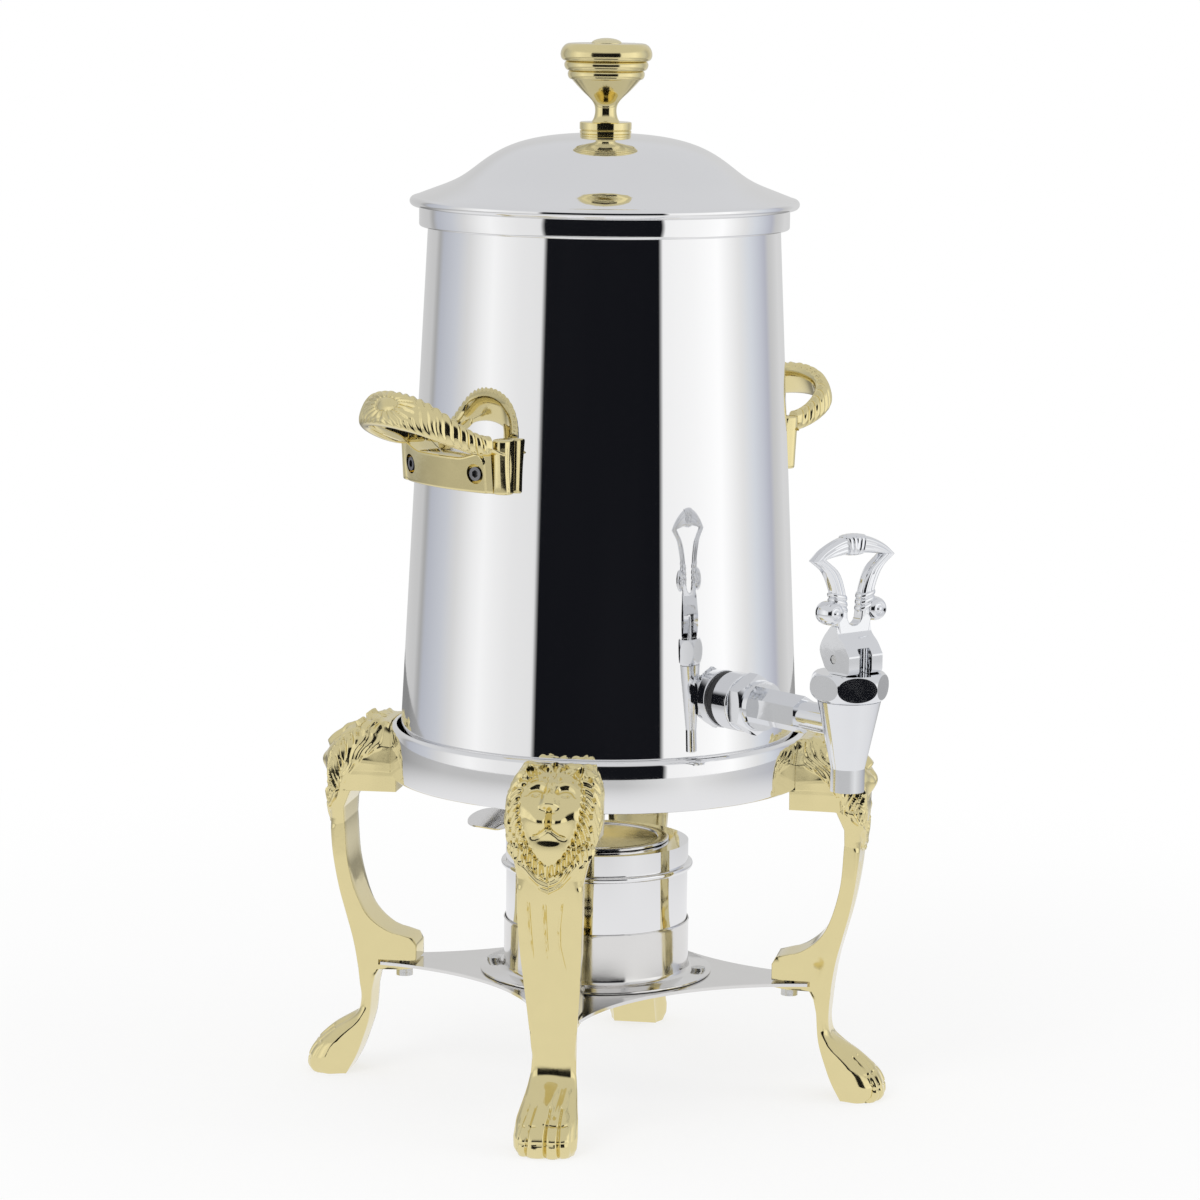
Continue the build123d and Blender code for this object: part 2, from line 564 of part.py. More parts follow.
with BuildPart() as damper_cover:
    with BuildSketch(Plane.XY.offset(DAMPER_Z)) as sheet:
        Circle(DAMPER_RADIUS)
        for angle, reach, width in (
            (RIVET_ANGLE, RIVET_CIRCLE, 2 * DAMPER_EAR),
            (DAMPER_TAB_ANGLE, TAB_CENTRE, DAMPER_TAB_WIDTH),
        ):
            with Locations(Location((0, 0, 0), angle)):
                Rectangle(reach, width, align=(Align.MIN, Align.CENTER))
            with PolarLocations(reach, 1, angle):
                Circle(width / 2)
    extrude(sheet.sketch, amount=DAMPER_SHEET)
    revolve(band(DAMPER_DISH, DAMPER_RADIUS, DAMPER_Z, DAMPER_Z + DAMPER_LIP), axis=Axis.Z)
    rod(spot(RIVET_ANGLE, RIVET_CIRCLE, DAMPER_Z), RIVET_RADIUS + RUNNING_GAP, DAMPER_SHEET, Mode.SUBTRACT)
write(damper_cover.part, "damper_cover")

with BuildPart() as damper_rivet:
    tail_z = CAP_Z - CAP_TOP - RIVET_HEAD
    head_z = DAMPER_Z + DAMPER_SHEET + JOINT_GAP
    rod(spot(RIVET_ANGLE, RIVET_CIRCLE, tail_z), RIVET_TAIL_RADIUS, RIVET_HEAD)
    rod(spot(RIVET_ANGLE, RIVET_CIRCLE, tail_z), RIVET_RADIUS, head_z - tail_z)
    rod(spot(RIVET_ANGLE, RIVET_CIRCLE, head_z), RIVET_HEAD_RADIUS, RIVET_HEAD)
write(damper_rivet.part, "damper_rivet")

# ---------------------------------------------------------------- vessel
with BuildPart() as vessel_wall:
    sheet_line = [
        (WALL_FOOT_RADIUS - WALL_SHEET, SEAT_Z),
        (WALL_FOOT_RADIUS, SEAT_Z),
        (WALL_TOP_RADIUS, WALL_TOP),
        (WALL_TOP_RADIUS - WALL_SHEET, WALL_TOP),
    ]
    revolve(outline(sheet_line), axis=Axis.Z)
    rod(tap_plane(0), SHANK_RADIUS + HOLE_SLACK, BORE_THROUGH, Mode.SUBTRACT)
write(vessel_wall.part, "vessel_wall")

with BuildPart() as vessel_bottom:
    low, high = SEAT_Z + BOTTOM_RISE, SEAT_Z + BOTTOM_RISE + BOTTOM_SHEET
    add(cone(low, high, -WALL_SHEET - JOINT_GAP))
write(vessel_bottom.part, "vessel_bottom")

with BuildPart() as top_band:
    revolve(band(BAND_BORE, BAND_RADIUS, WALL_TOP, BAND_TOP), axis=Axis.Z)
    foot_edges = top_band.edges().filter_by(GeomType.CIRCLE).group_by(Axis.Z)[0]
    fillet(foot_edges.sort_by(SortBy.RADIUS)[-1], BAND_ROUND)
write(top_band.part, "top_band")

# ---------------------------------------------------------------- lid
shoulder = (LID_RIM_RADIUS - LID_BEAD, BAND_TOP + 2 * LID_BEAD)
lid_top = BAND_TOP + LID_RISE
ogee = [
    (
        shoulder[0] + (LID_FLAT_RADIUS - shoulder[0]) * across,
        shoulder[1] + (lid_top - shoulder[1]) * up,
    )
    for across, up in LID_OGEE
]
hem_radius = BAND_BORE - LOOSE_GAP - SKIRT_SHEET

with BuildPart() as lid_shell:
    with BuildSketch(Plane.XZ) as lid_section:
        with BuildLine():
            Spline(*ogee)
            Line(ogee[-1], (0, lid_top))
            Line((0, lid_top), (0, lid_top - LID_SHEET))
            Line((0, lid_top - LID_SHEET), (ogee[-1][0], lid_top - LID_SHEET))
            Spline(*[(r, z - LID_SHEET) for r, z in reversed(ogee)])
            Line((ogee[0][0], ogee[0][1] - LID_SHEET), ogee[0])
        make_face()
        with Locations((LID_RIM_RADIUS - LID_BEAD, BAND_TOP + LID_BEAD)):
            Circle(LID_BEAD)
    revolve(lid_section.sketch, axis=Axis.Z)
    rod(Plane.XY.offset(lid_top - LID_SHEET), KNOB_SCREW_RADIUS + HOLE_SLACK, LID_SHEET, Mode.SUBTRACT)
write(lid_shell.part, "lid_shell")

with BuildPart() as lid_ring:
    with BuildSketch(Plane.XZ) as ring_section:
        with BuildLine():
            Polyline(
                (hem_radius, BAND_TOP - SKIRT_DEPTH),
                (hem_radius + SKIRT_SHEET, BAND_TOP - SKIRT_DEPTH),
                (hem_radius + SKIRT_SHEET, BAND_TOP),
                (BAND_RADIUS - JOINT_GAP, BAND_TOP),
                (BAND_RADIUS - JOINT_GAP, lid_top),
                (hem_radius, lid_top),
                close=True,
            )
        make_face()
        with BuildLine():
            Spline(*[(r, z - LID_SHEET) for r, z in ogee])
            Polyline(
                (ogee[-1][0], lid_top - LID_SHEET),
                (ogee[-1][0], lid_top + SPARE),
                (ogee[0][0], lid_top + SPARE),
                (ogee[0][0], ogee[0][1] - LID_SHEET),
            )
        make_face(mode=Mode.SUBTRACT)
        with Locations((LID_RIM_RADIUS - LID_BEAD, BAND_TOP + LID_BEAD)):
            Circle(LID_BEAD + JOINT_GAP, mode=Mode.SUBTRACT)
    revolve(ring_section.sketch, axis=Axis.Z)
write(lid_ring.part, "lid_ring")

# ---------------------------------------------------------------- knob
knob_z = lid_top + COLLAR_HEIGHT
with BuildPart() as knob_collar:
    rod(Plane.XY.offset(lid_top), COLLAR_RADIUS, COLLAR_HEIGHT)
    fillet(knob_collar.edges().filter_by(GeomType.CIRCLE), COLLAR_ROUND)
    rod(Plane.XY.offset(lid_top), KNOB_SCREW_RADIUS + HOLE_SLACK, COLLAR_HEIGHT, Mode.SUBTRACT)
write(knob_collar.part, "knob_collar")

flare_end = KNOB_FLARE[-1]
rib_rises = [rise for _, rise in KNOB_RIB_SIZES]
rib_heights = [flare_end[1] + sum(rib_rises[:k]) for k in range(len(rib_rises) + 1)]
knob_top = knob_z + rib_heights[-1]
with BuildPart() as lid_knob:
    with BuildSketch(Plane.XZ) as knob_section:
        with BuildLine():
            body_line = [(r, knob_z + z) for r, z in KNOB_NECK + KNOB_FLARE]
            Spline(*body_line)
            Polyline(body_line[-1], (0, body_line[-1][1]), (0, knob_z), body_line[0])
        make_face()
        for k, (radius, rise) in enumerate(KNOB_RIB_SIZES):
            with Locations((0, knob_z + rib_heights[k])):
                Rectangle(radius, rise, align=(Align.MIN, Align.MIN))
        outer = knob_section.vertices().filter_by(lambda v: v.X > flare_end[0] + KNOB_RIB_GROOVE)
        fillet(outer.group_by(Axis.Y)[0], KNOB_RIB_GROOVE)
        top_edge = knob_section.vertices().group_by(Axis.Y)[-1].sort_by(Axis.X)[-1]
        fillet(top_edge, KNOB_TOP_ROUND)
    revolve(knob_section.sketch, axis=Axis.Z)
    rod(Plane.XY.offset(knob_z), KNOB_SCREW_RADIUS + THREAD_GAP, KNOB_SCREW_REACH, Mode.SUBTRACT)
    button_hole = Plane.XY.offset(knob_top - BUTTON_STEM - LOOSE_GAP)
    rod(button_hole, BUTTON_STEM_RADIUS + JOINT_GAP, BUTTON_STEM + LOOSE_GAP, Mode.SUBTRACT)
write(lid_knob.part, "lid_knob")

with BuildPart() as knob_button:
    dome_radius = (BUTTON_RADIUS**2 + BUTTON_DOME**2) / (2 * BUTTON_DOME)
    button_top = knob_top + BUTTON_EDGE + BUTTON_DOME
    half_way = BUTTON_RADIUS / 2
    with BuildSketch(Plane.XZ) as button_section:
        with BuildLine():
            Polyline((0, knob_top), (BUTTON_RADIUS, knob_top), (BUTTON_RADIUS, knob_top + BUTTON_EDGE))
            ThreePointArc(
                (BUTTON_RADIUS, knob_top + BUTTON_EDGE),
                (half_way, button_top - dome_radius + sqrt(dome_radius**2 - half_way**2)),
                (0, button_top),
            )
            Line((0, button_top), (0, knob_top))
        make_face()
    revolve(button_section.sketch, axis=Axis.Z)
    rod(Plane.XY.offset(knob_top - BUTTON_STEM), BUTTON_STEM_RADIUS, BUTTON_STEM)
write(knob_button.part, "knob_button")

washer_top = lid_top - LID_SHEET
with BuildPart() as knob_washer:
    washer_plane = Plane.XY.offset(washer_top - KNOB_WASHER)
    rod(washer_plane, KNOB_WASHER_RADIUS, KNOB_WASHER)
    rod(washer_plane, KNOB_SCREW_RADIUS + HOLE_SLACK, KNOB_WASHER, Mode.SUBTRACT)
write(knob_washer.part, "knob_washer")

with BuildPart() as knob_screw:
    head_top = washer_top - KNOB_WASHER
    rod(Plane.XY.offset(head_top - KNOB_SCREW_HEAD), KNOB_SCREW_HEAD_RADIUS, KNOB_SCREW_HEAD)
    rod(Plane.XY.offset(head_top), KNOB_SCREW_RADIUS, lid_top + KNOB_SCREW_REACH - head_top)
write(knob_screw.part, "knob_screw")

# ---------------------------------------------------------------- side handles
handle_low = WALL_TOP - HANDLE_DROP
handle_high = handle_low + HANDLE_PLATE_HEIGHT
post_high = handle_low + HANDLE_POST_HEIGHT
handle_face = wall_radius(handle_low) + HANDLE_STANDOFF
face_inside = handle_face - HANDLE_FACE_THICKNESS
plate_root = wall_radius(post_high) - SPARE
screw_z = handle_low + HANDLE_SCREW_RISE
screw_seat = handle_face - COUNTERBORE_DEPTH
outside_wall = cone(SEAT_Z, WALL_TOP, JOINT_GAP)
grip_slope = atan2(GRIP_UP, GRIP_OUT)
grip_plane = Plane(
    origin=(handle_face - GRIP_SETBACK, 0, handle_low + GRIP_START_RISE),
    x_dir=(0, 1, 0),
    z_dir=(sin(grip_slope), 0, -cos(grip_slope)),
)
sector_start = Plane.XZ.rotated((0, 0, -HANDLE_HALF_ANGLE))
hollow_turn = degrees(HANDLE_RIM / face_inside)
hollow_start = Plane.XZ.rotated((0, 0, -HANDLE_HALF_ANGLE + hollow_turn))

with BuildPart() as handle:
    plate_section = band(plate_root, handle_face, handle_low, handle_high, sector_start)
    revolve(plate_section, axis=Axis.Z, revolution_arc=2 * HANDLE_HALF_ANGLE)
    fillet(handle.edges().filter_by(GeomType.CIRCLE).sort_by(SortBy.RADIUS)[-2:], HANDLE_ROUND)
    for turn in (-HANDLE_HALF_ANGLE, HANDLE_HALF_ANGLE - HANDLE_POST_TURN):
        post_start = Plane.XZ.rotated((0, 0, turn))
        post_section = band(plate_root, handle_face, handle_low, post_high, post_start)
        revolve(post_section, axis=Axis.Z, revolution_arc=HANDLE_POST_TURN)
    with BuildLine(grip_plane) as grip_path:
        EllipticalCenterArc((0, 0), GRIP_HALF_WIDTH, hypot(GRIP_OUT, GRIP_UP), 0, arc_size=180)
    grip_start = Plane(origin=grip_path.line @ 0, x_dir=(0, 1, 0), z_dir=grip_path.line % 0)
    with BuildSketch(grip_start) as grip_section:
        RectangleRounded(GRIP_THICKNESS, GRIP_BAND, GRIP_THICKNESS * ROUND_SHARE)
    sweep(grip_section.sketch, path=grip_path.line)
    hollow = band(plate_root, face_inside, handle_low + HANDLE_RIM, handle_high - HANDLE_RIM, hollow_start)
    hollow_arc = 2 * (HANDLE_HALF_ANGLE - hollow_turn)
    revolve(hollow, axis=Axis.Z, revolution_arc=hollow_arc, mode=Mode.SUBTRACT)
    add(outside_wall, mode=Mode.SUBTRACT)
    for turn in (-HANDLE_SCREW_TURN, HANDLE_SCREW_TURN):
        rod(radial_plane(turn, screw_z), HANDLE_SCREW_RADIUS + HOLE_SLACK, handle_face, Mode.SUBTRACT)
        rod(radial_plane(turn, screw_z, screw_seat), COUNTERBORE_RADIUS, BORE_THROUGH, Mode.SUBTRACT)
write(handle.part, "handle_right")
write(handle.part.rotate(Axis.Z, 180), "handle_left")

handle_turns = [side + turn for side in (0, 180) for turn in (-HANDLE_SCREW_TURN, HANDLE_SCREW_TURN)]
bush_end = sqrt(face_inside**2 - BUSH_RADIUS**2) - JOINT_GAP
with BuildPart() as handle_bushes:
    bush_start = wall_radius(screw_z) - SPARE
    for angle in handle_turns:
        rod(radial_plane(angle, screw_z, bush_start), BUSH_RADIUS, bush_end - bush_start)
    add(outside_wall, mode=Mode.SUBTRACT)
    for angle in handle_turns:
        rod(radial_plane(angle, screw_z), HANDLE_SCREW_RADIUS + THREAD_GAP, BORE_THROUGH, Mode.SUBTRACT)
write(handle_bushes.part, "handle_bushes")

with BuildPart() as handle_screws:
    screw_tip = wall_radius(screw_z) + HANDLE_SCREW_CLEAR
    for angle in handle_turns:
        rod(radial_plane(angle, screw_z, screw_tip), HANDLE_SCREW_RADIUS, screw_seat - screw_tip)
        rod(radial_plane(angle, screw_z, screw_seat), HANDLE_SCREW_HEAD_RADIUS, HANDLE_SCREW_HEAD)
        socket = radial_plane(angle, screw_z, screw_seat + HANDLE_SCREW_HEAD / 2)
        hex_bar(socket, 2 * HANDLE_SCREW_SOCKET, HANDLE_SCREW_HEAD, Mode.SUBTRACT)
write(handle_screws.part, "handle_screws")

# ---------------------------------------------------------------- tap: fixing to the wall
wall_at_tap = wall_radius(TAP_HEIGHT)
gasket_face = wall_at_tap + GASKET_THICKNESS
flange_face = gasket_face + FLANGE_WASHER_LENGTH
locknut_face = flange_face + LOCKNUT_LENGTH
shoulder_face = locknut_face + SHOULDER_LENGTH
tube_face = shoulder_face + HEX_TUBE_LENGTH
inner_gasket_face = wall_at_tap - WALL_SHEET - GASKET_THICKNESS
inner_nut_face = inner_gasket_face - INNER_NUT_LENGTH
shank_end = wall_at_tap - SHANK_INSIDE
TAP_REACH = tube_face + NECK_LENGTH

with BuildPart() as tap_gasket:
    gasket_start = tap_plane(wall_at_tap - SPARE)
    rod(gasket_start, FLANGE_WASHER_RADIUS - GASKET_INSET, GASKET_THICKNESS + SPARE)
    add(outside_wall, mode=Mode.SUBTRACT)
    rod(tap_plane(0), SHANK_RADIUS + HOLE_SLACK, BORE_THROUGH, Mode.SUBTRACT)
write(tap_gasket.part, "tap_gasket")

with BuildPart() as tap_flange:
    rod(tap_plane(gasket_face), FLANGE_WASHER_RADIUS, FLANGE_WASHER_LENGTH)
    fillet(tap_flange.edges().filter_by(GeomType.CIRCLE), FLANGE_WASHER_ROUND)
    rod(tap_plane(gasket_face), SHANK_RADIUS + HOLE_SLACK, FLANGE_WASHER_LENGTH, Mode.SUBTRACT)
write(tap_flange.part, "tap_flange")

with BuildPart() as tap_locknut:
    hex_bar(tap_plane(flange_face), LOCKNUT_ACROSS, LOCKNUT_LENGTH)
    tap_axis = Axis((0, 0, TAP_HEIGHT), (0, -1, 0))
    corner = LOCKNUT_ACROSS / sqrt(3)
    along = Plane(origin=(0, 0, TAP_HEIGHT), x_dir=(0, 0, 1), z_dir=(1, 0, 0))
    nut_shape = [
        (0, flange_face),
        (LOCKNUT_FACE_RADIUS, flange_face),
        (corner, flange_face + LOCKNUT_CHAMFER),
        (corner, locknut_face - LOCKNUT_CHAMFER),
        (LOCKNUT_FACE_RADIUS, locknut_face),
        (0, locknut_face),
    ]
    revolve(outline(nut_shape, along), axis=tap_axis, mode=Mode.INTERSECT)
    rod(tap_plane(flange_face), SHANK_RADIUS + THREAD_GAP, LOCKNUT_LENGTH, Mode.SUBTRACT)
write(tap_locknut.part, "tap_locknut")

with BuildPart() as inner_gasket:
    rod(tap_plane(inner_gasket_face), INNER_NUT_ACROSS / 2, GASKET_THICKNESS + SPARE)
    add(cone(SEAT_Z, WALL_TOP, -WALL_SHEET - JOINT_GAP), mode=Mode.INTERSECT)
    rod(tap_plane(0), SHANK_RADIUS + HOLE_SLACK, BORE_THROUGH, Mode.SUBTRACT)
write(inner_gasket.part, "inner_gasket")

with BuildPart() as shank_nut:
    hex_bar(tap_plane(inner_nut_face), INNER_NUT_ACROSS, INNER_NUT_LENGTH)
    rod(tap_plane(inner_nut_face), SHANK_RADIUS + THREAD_GAP, INNER_NUT_LENGTH, Mode.SUBTRACT)
write(shank_nut.part, "shank_nut")

# ---------------------------------------------------------------- tap: body and bonnet
valve_axis = Axis((0, -TAP_REACH, 0), (0, 0, 1))
valve_side = Plane(origin=(0, -TAP_REACH, 0), x_dir=(1, 0, 0), z_dir=(0, -1, 0))
thread_z = CONE_TOP_Z - BONNET_THREAD
cone_foot = SPOUT_Z + SPOUT_TUBE
spout_roof = VALVE_SEAT_Z - SEAT_THICKNESS

with BuildPart() as faucet_body:
    cone_line = [
        (0, SPOUT_Z),
        (SPOUT_RADIUS, SPOUT_Z),
        (SPOUT_RADIUS, cone_foot),
        (CONE_TOP_RADIUS, CONE_TOP_Z),
        (0, CONE_TOP_Z),
    ]
    revolve(outline(cone_line, valve_side), axis=valve_axis)
    rod(tap_plane(tube_face), NECK_RADIUS, TAP_REACH - tube_face)
    hex_bar(tap_plane(shoulder_face), HEX_TUBE_ACROSS, HEX_TUBE_LENGTH)
    rod(tap_plane(locknut_face), SHOULDER_RADIUS, SHOULDER_LENGTH)
    rod(tap_plane(shank_end), SHANK_RADIUS, locknut_face - shank_end)
    rod(tap_plane(shank_end), SHANK_BORE, TAP_REACH - shank_end, Mode.SUBTRACT)
    rod(valve_plane(VALVE_SEAT_Z), CHAMBER_RADIUS, BORE_THROUGH, Mode.SUBTRACT)
    rod(valve_plane(thread_z), BONNET_THREAD_RADIUS + THREAD_GAP, BORE_THROUGH, Mode.SUBTRACT)
    rod(valve_plane(spout_roof), SEAT_BORE, BORE_THROUGH, Mode.SUBTRACT)
    rod(valve_plane(SPOUT_Z), SPOUT_BORE, spout_roof - SPOUT_Z, Mode.SUBTRACT)
write(faucet_body.part, "faucet_body")

with BuildPart() as faucet_bonnet:
    hex_bar(valve_plane(CONE_TOP_Z), BONNET_ACROSS, BONNET_HEIGHT)
    with BuildSketch(valve_side) as crown_section:
        with BuildLine():
            ThreePointArc(
                (BONNET_FOOT_RADIUS, CONE_TOP_Z),
                (BONNET_ACROSS / sqrt(3), CONE_TOP_Z + BONNET_HEIGHT / 2),
                (BONNET_TOP_RADIUS, BONNET_TOP_Z),
            )
            Polyline(
                (BONNET_TOP_RADIUS, BONNET_TOP_Z),
                (0, BONNET_TOP_Z),
                (0, CONE_TOP_Z),
                (BONNET_FOOT_RADIUS, CONE_TOP_Z),
            )
        make_face()
    revolve(crown_section.sketch, axis=valve_axis, mode=Mode.INTERSECT)
    rod(valve_plane(thread_z + LOOSE_GAP), BONNET_THREAD_RADIUS, CONE_TOP_Z - thread_z - LOOSE_GAP)
    rod(valve_plane(thread_z), CHAMBER_RADIUS, BONNET_CEILING - thread_z, Mode.SUBTRACT)
    rod(valve_plane(thread_z), STEM_RADIUS + RUNNING_GAP, BORE_THROUGH, Mode.SUBTRACT)
write(faucet_bonnet.part, "faucet_bonnet")

# ---------------------------------------------------------------- tap: valve
with BuildPart() as valve_stem:
    stem_foot = VALVE_SEAT_Z + CUP_SEAT_HEIGHT / 2
    rod(valve_plane(stem_foot), STEM_RADIUS, PIN_Z + STEM_HEAD - stem_foot)
    rod(valve_plane(CUP_SEAT_TOP), STEM_DISC_RADIUS, STEM_DISC)
    pin_plane = across_tap(-LEVER_HALF_WIDTH)
    rod(pin_plane, PIN_RADIUS + JOINT_GAP, 2 * LEVER_HALF_WIDTH, Mode.SUBTRACT)
write(valve_stem.part, "valve_stem")

with BuildPart() as seat_cup:
    rod(valve_plane(VALVE_SEAT_Z), CUP_SEAT_RADIUS, CUP_SEAT_HEIGHT)
    rod(valve_plane(stem_foot), STEM_RADIUS + JOINT_GAP, CUP_SEAT_HEIGHT, Mode.SUBTRACT)
write(seat_cup.part, "seat_cup")

with BuildPart() as valve_spring:
    coil_low = SPRING_FOOT_Z + SPRING_WIRE + SPRING_CLEAR
    coil_height = BONNET_CEILING - SPRING_WIRE - SPRING_CLEAR - coil_low
    with BuildLine(valve_plane(coil_low)) as coil:
        Helix(pitch=coil_height / SPRING_TURNS, height=coil_height, radius=SPRING_RADIUS)
    with BuildSketch(Plane(origin=coil.line @ 0, z_dir=coil.line % 0)) as wire:
        Circle(SPRING_WIRE)
    sweep(wire.sketch, path=coil.line, is_frenet=True)
write(valve_spring.part, "valve_spring")

with BuildPart() as lever_pin:
    rod(across_tap(-LEVER_HALF_WIDTH + PIN_INSET), PIN_RADIUS, 2 * (LEVER_HALF_WIDTH - PIN_INSET))
write(lever_pin.part, "lever_pin")

# ---------------------------------------------------------------- tap: lever
lever_low = BONNET_TOP_Z + LOOSE_GAP - PIN_Z
lever_side = Plane(origin=(0, -TAP_REACH, PIN_Z), x_dir=(0, -1, 0), z_dir=(-1, 0, 0))
lever_front = Plane(origin=(0, -TAP_REACH, PIN_Z), x_dir=(1, 0, 0), z_dir=(0, -1, 0))
heel = EAR_FRONT[0][0]

with BuildPart() as tap_lever:
    with BuildSketch(lever_side) as ear_view:
        with BuildLine():
            Spline(*EAR_FRONT)
            Line(EAR_FRONT[-1], EAR_BACK[0])
            Spline(*EAR_BACK)
            Polyline(
                EAR_BACK[-1],
                (EAR_UNDERSIDE, lever_low),
                (heel - HEEL_ROUND, lever_low),
            )
            ThreePointArc(
                (heel - HEEL_ROUND, lever_low),
                (heel - HEEL_ROUND * (1 - sqrt(0.5)), lever_low + HEEL_ROUND * (1 - sqrt(0.5))),
                (heel, lever_low + HEEL_ROUND),
            )
            Line((heel, lever_low + HEEL_ROUND), EAR_FRONT[0])
        make_face()
    extrude(ear_view.sketch, amount=LEVER_HALF_WIDTH, both=True)
    with BuildSketch(lever_front) as slot_view:
        with Locations((0, lever_low)):
            Rectangle(LEVER_SLOT, LEVER_SLOT_RISE - lever_low, align=(Align.CENTER, Align.MIN))
    extrude(slot_view.sketch, amount=2 * heel, both=True, mode=Mode.SUBTRACT)
    rod(pin_plane, PIN_RADIUS + RUNNING_GAP, 2 * LEVER_HALF_WIDTH, Mode.SUBTRACT)
    with BuildSketch(lever_front) as loop_view:
        with BuildLine():
            Polyline((0, NECK_FOOT), (NECK_HALF_WIDTH, NECK_FOOT), LIMB_OUTSIDE[0])
            Spline(*LIMB_OUTSIDE)
            ThreePointArc(LIMB_OUTSIDE[-1], CROWN_TOP_SIDE, (0, CROWN_TOP))
            Line((0, CROWN_TOP), (0, CROWN_INSIDE))
            ThreePointArc((0, CROWN_INSIDE), CROWN_INSIDE_SIDE, LIMB_INSIDE[-1])
            Spline(*reversed(LIMB_INSIDE))
            Polyline(LIMB_INSIDE[0], (0, NECK_RISE), (0, NECK_FOOT))
        make_face()
        mirror(about=Plane.YZ)
    extrude(loop_view.sketch, amount=LOOP_THICKNESS / 2, both=True)
    for side in (-1, 1):
        with Locations((side * SCROLL_CENTRE[0], -TAP_REACH, PIN_Z + SCROLL_CENTRE[1])):
            Sphere(SCROLL_RADIUS)
write(tap_lever.part, "tap_lever")
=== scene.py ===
import json
from math import cos, pi, radians, sin, sqrt, tau

import bmesh
import bpy
import numpy as np
from mathutils import Matrix, Vector


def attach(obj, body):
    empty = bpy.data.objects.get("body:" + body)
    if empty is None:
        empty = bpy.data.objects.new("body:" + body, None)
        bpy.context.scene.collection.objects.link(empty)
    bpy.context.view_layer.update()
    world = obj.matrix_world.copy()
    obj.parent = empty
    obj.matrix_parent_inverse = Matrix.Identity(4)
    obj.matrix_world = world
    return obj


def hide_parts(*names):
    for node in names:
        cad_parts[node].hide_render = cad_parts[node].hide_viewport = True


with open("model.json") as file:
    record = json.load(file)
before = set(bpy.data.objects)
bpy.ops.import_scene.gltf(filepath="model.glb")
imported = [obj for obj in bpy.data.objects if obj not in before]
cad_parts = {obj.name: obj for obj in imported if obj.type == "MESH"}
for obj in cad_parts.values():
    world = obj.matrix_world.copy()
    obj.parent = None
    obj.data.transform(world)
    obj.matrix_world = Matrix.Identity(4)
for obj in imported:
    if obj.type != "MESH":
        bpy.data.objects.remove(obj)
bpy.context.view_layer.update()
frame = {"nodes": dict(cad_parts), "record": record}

# The coffee urn's looks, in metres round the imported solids.
# Sizes below are in millimetres, and MM turns them into metres where a mesh is made.
MM = 0.001
NODES = frame["nodes"]

# ---------------------------------------------------------------- camera
CAMERA_PLACE = (-1.4276, -1.6893, 0.5900)
CAMERA_TURN = -40.2  # degrees round the urn, the view's azimuth
CAMERA_TILT = 81.303  # degrees from looking straight down
CAMERA_ROLL = 0.678
CAMERA_LENS = 132.14
SENSOR = 36.0


def make_camera():
    """A long lens at the height and side that the urn is looked at from."""
    data = bpy.data.cameras.new("camera")
    data.sensor_width = SENSOR
    data.lens = CAMERA_LENS
    camera = bpy.data.objects.new("camera", data)
    bpy.context.scene.collection.objects.link(camera)
    turn = Matrix.Rotation(radians(CAMERA_TURN), 4, "Z")
    tilt = Matrix.Rotation(radians(CAMERA_TILT), 4, "X")
    roll = Matrix.Rotation(radians(CAMERA_ROLL), 4, "Z")
    camera.matrix_world = Matrix.Translation(CAMERA_PLACE) @ turn @ tilt @ roll
    bpy.context.scene.camera = camera


